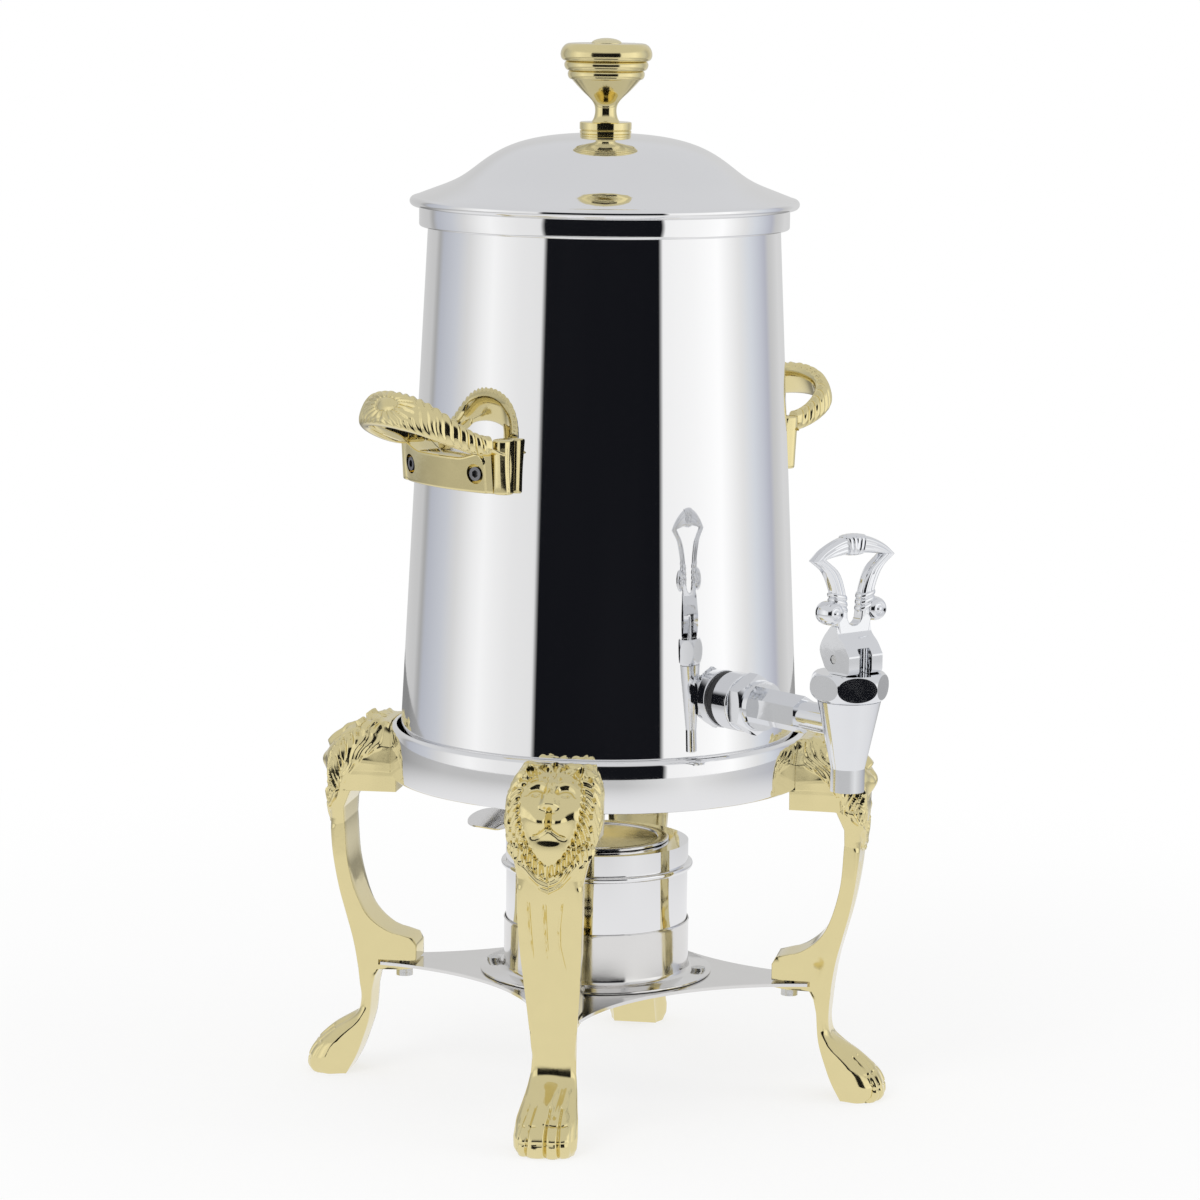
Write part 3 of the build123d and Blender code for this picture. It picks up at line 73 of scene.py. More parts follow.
# ---------------------------------------------------------------- node helpers
class Shader:
    """A material's or the world's nodes, with short ways to add and join them."""

    def __init__(self, tree):
        self.tree = tree
        tree.nodes.clear()

    def add(self, kind, **settings):
        node = self.tree.nodes.new(kind)
        for name, value in settings.items():
            setattr(node, name, value)
        return node

    def put(self, socket, value):
        """Link a socket, or set its value."""
        if isinstance(value, bpy.types.NodeSocket):
            self.tree.links.new(value, socket)
        else:
            socket.default_value = value

    def math(self, operation, first, second=0.0, clamp=False):
        node = self.add("ShaderNodeMath", operation=operation, use_clamp=clamp)
        self.put(node.inputs[0], first)
        self.put(node.inputs[1], second)
        return node.outputs[0]

    def mix(self, share, first, second):
        node = self.add("ShaderNodeMix", data_type="RGBA")
        self.put(node.inputs[0], share)
        self.put(node.inputs[6], first)
        self.put(node.inputs[7], second)
        return node.outputs[2]

    def spread(self, value, low, high, to_low=0.0, to_high=1.0):
        node = self.add("ShaderNodeMapRange", interpolation_type="SMOOTHSTEP")
        for socket, number in zip(node.inputs, (value, low, high, to_low, to_high)):
            self.put(socket, number)
        return node.outputs[0]

    def ramp(self, value, stops, interpolation="LINEAR"):
        node = self.add("ShaderNodeValToRGB")
        ramp = node.color_ramp
        ramp.interpolation = interpolation
        while len(ramp.elements) < len(stops):
            ramp.elements.new(1.0)
        for element, (place, colour) in zip(ramp.elements, stops):
            element.position = place
        for element, (place, colour) in zip(ramp.elements, stops):
            element.color = grey(colour)
        self.put(node.inputs[0], value)
        return node.outputs[0]

    def noise(self, scale, detail=2.0, stretch=(1.0, 1.0, 1.0), rough=0.5):
        """Noise in the row frame, in lumps of about 1 / scale metres."""
        place = self.add("ShaderNodeTexCoord")
        mapping = self.add("ShaderNodeMapping")
        self.put(mapping.inputs["Vector"], place.outputs["Object"])
        mapping.inputs["Scale"].default_value = stretch
        node = self.add("ShaderNodeTexNoise")
        self.put(node.inputs["Vector"], mapping.outputs["Vector"])
        node.inputs["Scale"].default_value = scale
        node.inputs["Detail"].default_value = detail
        node.inputs["Roughness"].default_value = rough
        return node.outputs["Fac"]

    def bump(self, height, strength, distance):
        node = self.add("ShaderNodeBump")
        node.inputs["Strength"].default_value = strength
        node.inputs["Distance"].default_value = distance
        self.put(node.inputs["Height"], height)
        return node.outputs["Normal"]

    def end(self, shader):
        """Make a shader the material's surface."""
        node = self.add("ShaderNodeOutputMaterial")
        self.put(node.inputs["Surface"], shader.outputs[0])

    def turned(self, direction):
        """How far round from the camera's side a direction points, as a share of a turn."""
        level = self.add("ShaderNodeMapping", vector_type="VECTOR")
        self.put(level.inputs["Vector"], direction)
        level.inputs["Rotation"].default_value = (0.0, 0.0, radians(90.0 - CAMERA_TURN))
        split = self.add("ShaderNodeSeparateXYZ")
        self.put(split.inputs[0], level.outputs["Vector"])
        around = self.math("ARCTAN2", split.outputs["Y"], split.outputs["X"])
        share = self.math("MULTIPLY_ADD", around, 1 / tau)
        share.node.inputs[2].default_value = 0.5
        return share


def new_material(name):
    """A material and its empty node tree."""
    material = bpy.data.materials.new(name)
    material.use_nodes = True
    return material, Shader(material.node_tree)


def grey(colour):
    """A colour with alpha, from one number or three."""
    if isinstance(colour, (int, float)):
        return (colour, colour, colour, 1.0)
    return (*colour, 1.0)


def round_stops(stops):
    """Stops given in degrees from the camera's side, as shares of a turn."""
    return [((angle + 180.0) / 360.0, colour) for angle, colour in stops]


# ---------------------------------------------------------------- studio
# What the polished metal reflects, all round: (degrees from the camera's side, colour).
# Negative is to the camera's left. A black screen stands behind the camera.
STUDIO_ROUND = [
    (-180.0, 0.66),
    (-152.0, 0.62),
    (-140.0, 0.60),
    (-133.0, 0.42),
    (-127.0, (0.50, 0.52, 0.58)),
    (-109.0, (0.61, 0.63, 0.68)),
    (-97.0, 0.74),
    (-83.0, 0.94),
    (-75.0, 1.02),
    (-66.0, 0.95),
    (-54.0, 0.88),
    (-39.5, 0.85),
    (-37.0, (0.007, 0.0075, 0.010)),
    (35.5, (0.007, 0.0075, 0.010)),
    (38.0, 0.98),
    (60.0, 1.04),
    (78.0, 1.12),
    (88.0, 0.97),
    (97.0, 0.84),
    (108.0, (0.72, 0.75, 0.80)),
    (121.0, (0.57, 0.59, 0.66)),
    (127.0, (0.50, 0.51, 0.58)),
    (133.0, 0.60),
    (150.0, 0.72),
    (180.0, 0.66),
]
CEILING = (0.70, 0.705, 0.72)
CEILING_FOOT = 16.0  # degrees up, where the walls start to turn into the ceiling
CEILING_TOP = 30.0
DIFFUSE_LEVEL = 0.85

FLOOR_RADIUS = 1.42
# What polished metal sees of the floor, near the urn and all round further out: a painted reflection, as the
# floor glows with these greys for glossy rays only, lighter on the camera's side and darker behind the urn.
FLOOR_NEAR_PAINTED_REFLECTION = (0.86, 0.86, 0.87)
FLOOR_PAINTED_REFLECTION = [
    (-180.0, 0.26),
    (-144.0, 0.26),
    (-118.0, 0.42),
    (-90.0, 0.56),
    (13.0, 0.58),
    (30.0, 0.72),
    (47.0, 0.84),
    (73.0, 0.69),
    (104.0, (0.53, 0.54, 0.58)),
    (140.0, 0.40),
    (180.0, 0.26),
]
FLOOR_NEAR_REACH = (0.40, 1.00)  # metres from the axis, where the one turns into the other
FLOOR_SHADOW_SHARE = 0.30
FLOOR_FADE = (0.25, 0.85)  # metres from the axis, where its shadow fades into white


def make_world():
    """White behind the urn, even light on it, and a studio in its polished metal."""
    world = bpy.data.worlds.new("studio")
    bpy.context.scene.world = world
    world.use_nodes = True
    s = Shader(world.node_tree)
    place = s.add("ShaderNodeTexCoord")
    walls = s.ramp(s.turned(place.outputs["Generated"]), round_stops(STUDIO_ROUND))
    split = s.add("ShaderNodeSeparateXYZ")
    s.put(split.inputs[0], place.outputs["Generated"])
    high = s.spread(split.outputs["Z"], sin(radians(CEILING_FOOT)), sin(radians(CEILING_TOP)))
    room = s.mix(high, walls, grey(CEILING))
    rays = s.add("ShaderNodeLightPath")
    even = s.mix(rays.outputs["Is Camera Ray"], grey(DIFFUSE_LEVEL), grey(1.0))
    seen = s.mix(rays.outputs["Is Glossy Ray"], even, room)
    background = s.add("ShaderNodeBackground")
    s.put(background.inputs["Color"], seen)
    out = s.add("ShaderNodeOutputWorld")
    s.put(out.inputs["Surface"], background.outputs[0])


def make_floor():
    """A round pale floor that keeps a soft shadow near the feet and is white further out, and that shows
    polished metal a painted reflection.
    """
    mesh = bpy.data.meshes.new("floor")
    ring = [(FLOOR_RADIUS * cos(k * tau / 96), FLOOR_RADIUS * sin(k * tau / 96), 0.0) for k in range(96)]
    mesh.from_pydata(ring, [], [tuple(range(96))])
    floor = bpy.data.objects.new("floor", mesh)
    bpy.context.scene.collection.objects.link(floor)
    material, s = new_material("floor")
    place = s.add("ShaderNodeTexCoord")
    length = s.add("ShaderNodeVectorMath", operation="LENGTH")
    s.put(length.inputs[0], place.outputs["Object"])
    near = s.spread(length.outputs["Value"], *FLOOR_FADE, FLOOR_SHADOW_SHARE, 0.0)
    paint = s.add("ShaderNodeBsdfDiffuse")
    paint.inputs["Color"].default_value = grey(0.95)
    white = s.add("ShaderNodeEmission")
    white.inputs["Color"].default_value = grey(1.0)
    shown = s.add("ShaderNodeMixShader")
    s.put(shown.inputs[0], near)
    s.put(shown.inputs[1], white.outputs[0])
    s.put(shown.inputs[2], paint.outputs[0])
    # Painted reflection: an emission that only glossy rays see, in greys that change round the urn and with
    # distance from it.
    gloss = s.add("ShaderNodeEmission")
    round_urn = s.ramp(s.turned(place.outputs["Object"]), round_stops(FLOOR_PAINTED_REFLECTION))
    far = s.spread(length.outputs["Value"], *FLOOR_NEAR_REACH)
    s.put(gloss.inputs["Color"], s.mix(far, grey(FLOOR_NEAR_PAINTED_REFLECTION), round_urn))
    rays = s.add("ShaderNodeLightPath")
    both = s.add("ShaderNodeMixShader")
    s.put(both.inputs[0], rays.outputs["Is Glossy Ray"])
    s.put(both.inputs[1], shown.outputs[0])
    s.put(both.inputs[2], gloss.outputs[0])
    s.end(both)
    mesh.materials.append(material)


def make_lamps():
    """Two broad soft lamps, for the few parts that aren't polished."""
    for name, place, power in (("key", (-2.2, -0.6, 2.0), 14.0), ("fill", (1.6, -1.8, 1.6), 8.0)):
        data = bpy.data.lights.new(name, "AREA")
        data.shape = "DISK"
        data.size = 1.4
        data.energy = power
        lamp = bpy.data.objects.new(name, data)
        bpy.context.scene.collection.objects.link(lamp)
        lamp.location = place
        lamp.rotation_euler = (-Vector(place)).to_track_quat("-Z", "Y").to_euler()
        lamp.visible_glossy = False


# ---------------------------------------------------------------- materials
METAL_BUMP = 0.0004  # metres that the finest unevenness may rise
RUBBER_BUMP = 0.0003


def metal(name, base, rough, spread=0.02, bump=0.0, grain=(1.0, 1.0, 1.0), scale=60.0, tint=0.03):
    """Polished metal: its colour, its gloss and a faint unevenness in both."""
    material, s = new_material(name)
    body = s.add("ShaderNodeBsdfPrincipled")
    body.inputs["Metallic"].default_value = 1.0
    cloud = s.noise(scale, 3.0, grain)
    pale = [min(1.0, c * (1 + tint)) for c in base]
    deep = [c * (1 - tint) for c in base]
    s.put(body.inputs["Base Color"], s.mix(cloud, grey(deep), grey(pale)))
    s.put(body.inputs["Roughness"], s.spread(cloud, 0.3, 0.7, max(0.0, rough - spread), rough + spread))
    if bump:
        s.put(body.inputs["Normal"], s.bump(s.noise(scale * 2.5, 2.0, grain), bump, METAL_BUMP))
    s.end(body)
    return material


def plain(name, base, rough, scale=400.0, bump=0.15):
    """Rubber and silicone: soft sheen with a fine matt grain."""
    material, s = new_material(name)
    body = s.add("ShaderNodeBsdfPrincipled")
    grain = s.noise(scale, 4.0)
    s.put(body.inputs["Base Color"], s.mix(grain, grey([c * 0.8 for c in base]), grey(base)))
    s.put(body.inputs["Roughness"], s.spread(grain, 0.3, 0.7, rough - 0.06, rough + 0.06))
    s.put(body.inputs["Normal"], s.bump(grain, bump, RUBBER_BUMP))
    s.end(body)
    return material


STEEL = (0.88, 0.88, 0.885)
BRASS = (0.82, 0.715, 0.385)
FINISHES = {
    "mirror_steel": metal("mirror_steel", STEEL, 0.035, 0.015, 0.02, (1.0, 1.0, 0.08), 40.0, 0.01),
    "polished_brass": metal("polished_brass", BRASS, 0.10, 0.03, 0.05, scale=120.0),
    "satin_brass": metal("satin_brass", (0.84, 0.76, 0.48), 0.24, 0.04, 0.05, scale=160.0),
    "chrome_plate": metal("chrome_plate", (0.86, 0.87, 0.89), 0.05, 0.02, 0.02, scale=90.0, tint=0.015),
    "sheet_steel": metal("sheet_steel", (0.80, 0.79, 0.775), 0.11, 0.03, 0.05, scale=50.0),
    "zinc_steel": metal("zinc_steel", (0.66, 0.66, 0.65), 0.28, 0.06, 0.2, scale=300.0),
    "dark_steel": metal("dark_steel", (0.20, 0.20, 0.21), 0.30, 0.06, 0.2, scale=300.0),
    "black_rubber": plain("black_rubber", (0.03, 0.03, 0.032), 0.55),
    "silicone": plain("silicone", (0.62, 0.60, 0.55), 0.45),
}


# ---------------------------------------------------------------- mesh helpers
SMOOTH_ANGLE = 32.0  # degrees, past which an edge stays sharp


def piece(name, points, faces, finish, body, replaced=(), sharp=SMOOTH_ANGLE):
    """A finished mesh, from points in millimetres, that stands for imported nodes."""
    mesh = bpy.data.meshes.new(name)
    mesh.from_pydata([Vector(p) * MM for p in points], [], faces)
    mesh.validate()
    shade(mesh, sharp)
    mesh.materials.append(FINISHES[finish])
    return settle(bpy.data.objects.new(name, mesh), body, replaced)


def shade(mesh, sharp):
    """Smooth faces with sharp edges past an angle, all facing outward."""
    work = bmesh.new()
    work.from_mesh(mesh)
    bmesh.ops.remove_doubles(work, verts=work.verts, dist=1e-7)
    bmesh.ops.recalc_face_normals(work, faces=work.faces)
    work.to_mesh(mesh)
    work.free()
    mesh.polygons.foreach_set("use_smooth", [True] * len(mesh.polygons))
    mesh.set_sharp_from_angle(angle=radians(sharp))


def settle(thing, body, replaced=()):
    """Link an object, ride it on its body and hide the nodes that it stands for."""
    bpy.context.scene.collection.objects.link(thing)
    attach(thing, body)
    if replaced:
        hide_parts(*replaced)
    return thing


def ring_faces(count, size):
    """Faces between one closed ring of points and the next."""
    return [
        (k * size + j, k * size + (j + 1) % size, (k + 1) * size + (j + 1) % size, (k + 1) * size + j)
        for k in range(count - 1)
        for j in range(size)
    ]


def prism_faces(count):
    """Faces of a bar with two like ends of so many points."""
    sides = [(k, (k + 1) % count, count + (k + 1) % count, count + k) for k in range(count)]
    return sides + [tuple(range(count))[::-1], tuple(range(count, 2 * count))]


def dense(points, step=0.25):
    """A Catmull-Rom curve through points, sampled about every step."""
    p = np.array(points, float)
    p = np.vstack([2 * p[0] - p[1], p, 2 * p[-1] - p[-2]])
    out = []
    for a, b, c, d in zip(p[:-3], p[1:-2], p[2:-1], p[3:]):
        count = max(2, int(np.linalg.norm(c - b) / step))
        t = np.linspace(0, 1, count, endpoint=False)[:, None]
        out.append(
            0.5 * (2 * b + (c - a) * t + (2 * a - 5 * b + 4 * c - d) * t**2 + (3 * b - a - 3 * c + d) * t**3)
        )
    return np.vstack(out + [p[-2:-1]])


def lengths(line):
    """Distance along a polyline to each of its points."""
    return np.concatenate([[0.0], np.cumsum(np.linalg.norm(np.diff(line, axis=0), axis=1))])


def along(line, reach, where):
    """Points of a polyline at distances along it."""
    return np.stack([np.interp(where, reach, line[:, k]) for k in range(line.shape[1])], axis=-1)


def smooth(value, low, high):
    """0 below low, 1 above high, with a soft step between."""
    t = np.clip((value - low) / (high - low), 0, 1)
    return t * t * (3 - 2 * t)


def lump(a, v, centre, radii, power=2.0):
    """A round swelling, 1 at its centre."""
    far = np.hypot((a - centre[0]) / radii[0], (v - centre[1]) / radii[1])
    return np.exp(-(far**power))


def stroke(a, v, line, width):
    """A rounded ridge along a polyline, 1 on the line."""
    best = np.full(np.shape(a), 1e9)
    for (ax, av), (bx, bv) in zip(line[:-1], line[1:]):
        dx, dv = bx - ax, bv - av
        t = np.clip(((a - ax) * dx + (v - av) * dv) / (dx * dx + dv * dv), 0, 1)
        best = np.minimum(best, np.hypot(a - ax - t * dx, v - av - t * dv))
    return np.exp(-((best / width) ** 2))


# ---------------------------------------------------------------- legs
LEG_NODES = {
    "leg_back_right": 40.1,
    "leg_back_left": 130.1,
    "leg_front_left": 220.1,
    "leg_front_right": 310.1,
}
RING_FACE = 106.12
# Side view, as (distance from the urn's axis, height), before the carving is added.
LEG_FRONT = [
    (107.5, 187.4), (116.0, 186.2), (124.0, 181.5), (131.0, 176.0), (135.2, 170.5), (137.0, 164.0),
    (137.5, 156.0), (137.3, 146.0), (137.0, 135.0), (136.2, 124.0), (134.5, 111.0), (132.0, 98.0),
    (128.6, 85.0), (125.3, 72.0), (123.3, 60.0), (122.0, 46.5), (121.9, 38.5), (123.6, 32.6),
    (129.0, 28.0), (136.8, 23.0), (143.8, 16.6), (148.4, 9.8), (149.2, 5.4), (148.4, 1.8), (146.2, 0.0),
]
LEG_STRAP = [(129.0, 134.0), (126.8, 110.0), (119.5, 88.0), (108.0, 77.0), (95.3, 73.7)]
LEG_HEEL = [(115.7, 45.0), (117.1, 30.0), (121.0, 17.0), (124.3, 8.5), (128.9, 0.0)]
# Where the front line and the back line are joined across, as (height in front, place behind).
LEG_ACROSS = [
    (187.4, (RING_FACE, 187.0)),
    (163.0, (RING_FACE, 162.0)),
    (162.0, (101.2, 161.9)),
    (152.0, (101.2, 151.6)),
    (151.2, (125.0, 151.5)),
    (142.0, (129.0, 142.0)),
    (132.0, (129.0, 134.0)),
    (108.0, (126.8, 110.0)),
    (84.0, (119.5, 88.0)),
    (74.0, (108.0, 77.0)),
    (69.5, (95.3, 73.7)),
    (68.0, (92.4, 71.4)),
    (60.0, (92.4, 58.0)),
    (58.5, (93.9, 56.3)),
    (55.0, (111.7, 56.3)),
    (50.0, (114.2, 52.0)),
    (43.0, (115.7, 45.0)),
    (29.0, (117.1, 30.0)),
    (14.0, (121.0, 17.0)),
    (7.0, (124.3, 8.5)),
    (0.0, (128.9, 0.0)),
]
# Half width and the roundness of the front's corners, by height in front.
LEG_WIDTH = [
    (187.4, 15.0), (184.0, 19.0), (178.0, 22.0), (170.0, 23.2), (160.0, 23.2), (150.0, 20.8),
    (142.0, 18.0), (132.0, 16.2), (115.0, 16.0), (95.0, 15.0), (75.0, 13.5), (54.0, 11.5),
    (43.5, 10.8), (34.0, 11.3), (26.0, 13.2), (16.0, 15.4), (8.0, 16.2), (3.0, 15.9), (0.0, 14.4),
]
LEG_CORNER = [
    (187.4, 1.0), (184.0, 4.0), (178.0, 10.0), (168.0, 14.0), (150.0, 13.0), (140.0, 8.0), (130.0, 3.0),
    (120.0, 1.6), (60.0, 1.6), (48.0, 2.0), (40.0, 5.0), (32.0, 8.5), (24.0, 11.0), (10.0, 12.5), (0.0, 11.0),
]
# Half width behind the front's corners, by height in front.
LEG_REAR = [
    (187.4, 17.5), (180.0, 21.0), (170.0, 21.2), (160.0, 21.0), (150.0, 20.4), (141.0, 18.0), (132.0, 16.2),
    (115.0, 16.0), (95.0, 15.0), (80.0, 12.8), (69.0, 10.0), (56.0, 10.0), (50.0, 10.8), (34.0, 11.0),
    (20.0, 11.2), (0.0, 11.5),
]
REAR_REACH = 13.0  # how far behind the corners that width is reached
MASK_LENGTH = 84.0  # down the front from the top, that the mask takes
ROW_STEPS = [(MASK_LENGTH, 0.42), (50.0 + MASK_LENGTH, 1.2), (80.0 + MASK_LENGTH, 2.4), (400.0, 0.7)]
FRONT_COLUMNS = 176
SIDE_CARVING = 11.0  # how far the mane runs round onto the leg's sides
TIER_LENGTH = 6.6  # of the mane's locks
SIDE_COLUMNS = 4
BACK_COLUMNS = 6
BACK_ROUND = 0.35
PLATE_SLOT = ((80.0, -30.0, 58.5), (112.2, 30.0, 61.2))  # in the boss, for the tray plate


def leg_rows(total):
    """Distances down the front at which the leg has a row of points."""
    rows, place = [], 0.0
    for stop, step in ROW_STEPS:
        while place < min(stop, total):
            rows.append(place)
            place += step
    return np.array(rows + [total])


def leg_grid():
    """The leg's rows: front points with their carving coordinates, then the way round the back."""
    front = dense(LEG_FRONT)
    reach = lengths(front)
    rows = leg_rows(reach[-1])
    strap, heel = dense(LEG_STRAP), dense(LEG_HEEL)
    knots = [p for _, p in LEG_ACROSS]
    back = np.vstack([knots[:6], strap, knots[11:15], knots[15:16], heel])
    back_reach = lengths(back)
    pair_front = np.interp([-h for h, _ in LEG_ACROSS], -front[:, 1], reach)
    pair_front[0] = 0.0
    pair_back = [back_reach[np.argmin(np.linalg.norm(back - p, axis=1))] for p in knots]
    f = along(front, reach, rows)
    b = along(back, back_reach, np.interp(rows, pair_front, pair_back))
    return rows, f, b


def face_half_width(v):
    """Half width of the mask's bare face, by the distance down the front."""
    return np.interp(
        v,
        [12.5, 14.0, 18.0, 24.0, 30.0, 38.0, 44.0, 50.0, 54.0, 58.0, 60.5, 62.0],
        [0.0, 6.0, 11.5, 13.8, 14.6, 14.2, 12.7, 10.4, 8.4, 5.6, 3.0, 0.0],
    )


def mask_half_width(v):
    """Half width of the mane's outline, which bares the leg's sides lower down."""
    return np.interp(
        v,
        [0.0, 3.0, 8.0, 16.0, 28.0, 40.0, 48.0, 54.0, 59.0, 63.0, 67.0, 71.0, 74.0, 76.5, 77.5],
        [16.0, 26.0, 36.0, 40.0, 37.0, 32.5, 28.5, 25.0, 20.5, 16.0, 12.0, 8.0, 4.5, 0.0, -3.0],
    )


def soft_ridge(phase, power=0.7):
    """Ridges with soft valleys, one to each whole number."""
    return np.clip(0.5 - 0.5 * np.cos(2 * pi * phase), 0, 1) ** power


def lock_count(turn):
    """Locks passed on the way round the face, wider at its sides than under the chin."""
    angles = np.linspace(-pi, pi, 721)
    pitch = 2.7 + 1.7 * np.clip(np.cos(angles), 0, 1)
    count = np.concatenate([[0.0], np.cumsum(19.0 / pitch[1:] * np.diff(angles))])
    return np.interp(turn, angles, count)


def mane(a, v):
    """Locks of hair in two overlapping tiers round the face, then long smooth strands."""
    side = np.sign(a) + (a == 0)
    m = np.abs(a)
    middle = 36.0
    turn = np.arctan2(v - middle, m)  # 0 at the side, +90 degrees under the chin
    face_r = np.interp(
        turn, np.radians([-90, -65, -40, -15, 0, 20, 40, 55, 70, 80, 90]),
        [22.5, 20.5, 17.0, 15.0, 14.4, 14.8, 15.6, 16.8, 20.5, 24.0, 26.0],
    )
    out = np.hypot(m, v - middle) - face_r
    wander = 0.7 * np.sin(4.0 * turn + 1.7 * side) + 0.4 * np.sin(9.0 * turn + 0.6)
    slant = 0.30 * np.clip(np.cos(turn), 0, 1)
    tier = np.clip((out + wander) / TIER_LENGTH, 0.0, 4.0)
    number = np.floor(tier)
    w = tier - number
    phase = lock_count(turn) - slant * out + 0.45 * number + 0.2 * side
    uneven = 0.22 * np.sin(3.1 * np.floor(phase) + 1.3 * number + side)
    lock = soft_ridge(phase, 0.5 + 1.3 * w**2) * (1 + uneven)
    height = 1.9 - 0.35 * number
    locks = 0.5 + lock * height * (1 - 0.35 * w**2) - 0.45 * w
    strands = 1.5 + 0.5 * np.sin(2 * pi * (out - 1.6 * wander) / 3.3)
    strands = strands + 0.3 * np.sin(2 * pi * phase / 2.0) * np.cos(out / 2.2)
    under = smooth(turn, 0.9, 1.3)
    calm = smooth(out, 9.5 - 4.5 * under, 14.0 - 5.0 * under)
    flat = 1 - 0.4 * smooth(m, 20.0, 30.0)
    return (locks * (1 - calm) + strands * calm) * flat


def face(a, v):
    """The lion's features, by distance from the middle and down the front."""
    m = np.abs(a)
    h = 1.6 + 1.2 * (1 - np.clip(np.hypot(m / 14.5, (v - 37.0) / 25.0), 0, 1) ** 2)
    h += 0.9 * lump(m, v, (4.0, 18.0), (4.2, 3.2))  # forehead
    h -= 0.7 * stroke(m, v, [(0, 13.5), (0, 19.0)], 0.9)
    h += 1.2 * stroke(m, v, [(2.8, 23.4), (5.4, 21.9), (9.0, 22.3), (12.0, 25.2)], 2.1)  # brow
    h -= 2.4 * lump(m, v, (7.2, 27.9), (5.0, 3.4), 2.6)  # eye socket
    h += 2.6 * lump(m, v, (7.2, 28.8), (4.5, 2.9), 2.4)
    h -= 0.5 * stroke(m, v, [(3.2, 27.6), (5.0, 25.2), (7.4, 24.4), (10.0, 25.6), (11.8, 28.6)], 0.9)
    h += 0.5 * stroke(m, v, [(3.4, 29.2), (5.1, 27.2), (7.4, 26.4), (9.8, 27.4), (11.4, 29.8)], 0.7)
    h -= 0.5 * lump(m, v, (7.2, 28.8), (1.0, 1.0))  # pupil
    h += 1.3 * lump(m, v, (9.2, 36.0), (4.6, 5.4))  # cheek
    slope = np.interp(v, [18.0, 23.0, 28.0, 33.5], [2.6, 3.2, 4.8, 6.8])
    bridge = np.interp(v, [16.0, 20.0, 26.0, 31.0, 33.5], [0.2, 1.4, 2.5, 3.6, 4.0])
    nose = bridge * (1 - smooth(m, 1.2, slope)) * smooth(v, 14.5, 18.5)
    h += nose * (1 - smooth(v, 33.4, 36.0))
    h += 3.2 * lump(m, v, (4.3, 40.6), (4.2, 4.4), 2.4)  # muzzle
    h -= 1.3 * stroke(m, v, [(0, 36.0), (0, 43.0)], 1.1)
    h -= 1.2 * stroke(m, v, [(0, 43.0), (2.6, 45.2), (5.2, 47.0), (7.6, 47.6)], 0.9)  # mouth
    h -= 0.4 * lump(m, v, (0.0, 49.2), (5.0, 1.6), 2.2)
    return h + 0.5 * lump(m, v, (0, 54.6), (8.0, 4.8), 2.0)  # chin


def ears(a, v):
    """Small pointed ears with hollows, above the eyes."""
    m = np.abs(a)
    rim = stroke(m, v, [(9.4, 15.8), (10.6, 12.4), (13.0, 10.6), (14.3, 13.0), (14.2, 16.0)], 0.8)
    return 2.6 * rim - 1.6 * lump(m, v, (12.0, 14.2), (1.5, 1.9)) + 1.2 * lump(m, v, (12.0, 13.6), (2.6, 3.2))


def mask(a, v):
    """The whole lion's mask: face, ears, mane and its edge against the shin."""
    m = np.abs(a)
    bare = smooth(face_half_width(v) - m, -0.5, 0.6) * smooth(v, 12.4, 13.6)
    near_edge = np.exp(-(((m - face_half_width(v) - 0.9) / 0.8) ** 2))
    near_edge = near_edge * smooth(v, 14, 16) * smooth(-v, -62, -60)
    hair = mane(a, v)
    ear = smooth(lump(m, v, (12.0, 13.4), (3.4, 3.8), 4.0), 0.3, 0.7)
    tufts = (hair - 1.2 * near_edge) * (1 - ear) + (0.9 + ears(a, v)) * ear
    both = tufts * (1 - bare) + face(a, v) * bare
    whole = smooth(mask_half_width(v) - m + 0.8 * (hair - 1.5), -0.2, 1.8) * smooth(v, 0.5, 6.0)
    return both * whole


SHIN_LINES = [
    [(-9.9, 81.0), (-9.2, 95.0), (-8.6, 106.0), (-8.1, 116.0)],
    [(-10.9, 80.0), (-10.1, 92.0), (-9.6, 104.0)],
    [(-2.9, 82.0), (-2.4, 95.0), (-1.6, 110.0), (-0.4, 120.0)],
    [(-1.8, 82.0), (-1.4, 98.0), (-0.9, 112.0)],
    [(6.6, 80.0), (5.2, 92.0), (5.0, 103.0), (7.0, 114.0), (10.9, 127.0)],
    [(5.5, 86.0), (4.2, 96.0), (5.4, 108.0), (9.0, 122.0)],
]


def shin(a, v):
    """Incised lines that fall from the mask like tendons."""
    cut = np.zeros(np.shape(a))
    for line in SHIN_LINES:
        reach = line[-1][1] - line[0][1]
        fade = 1 - 0.6 * smooth(v, line[0][1] + 0.6 * reach, line[-1][1])
        cut = np.maximum(cut, fade * stroke(a, v, line, 0.5))
    return -0.75 * cut * smooth(v, 79.0, 81.5)


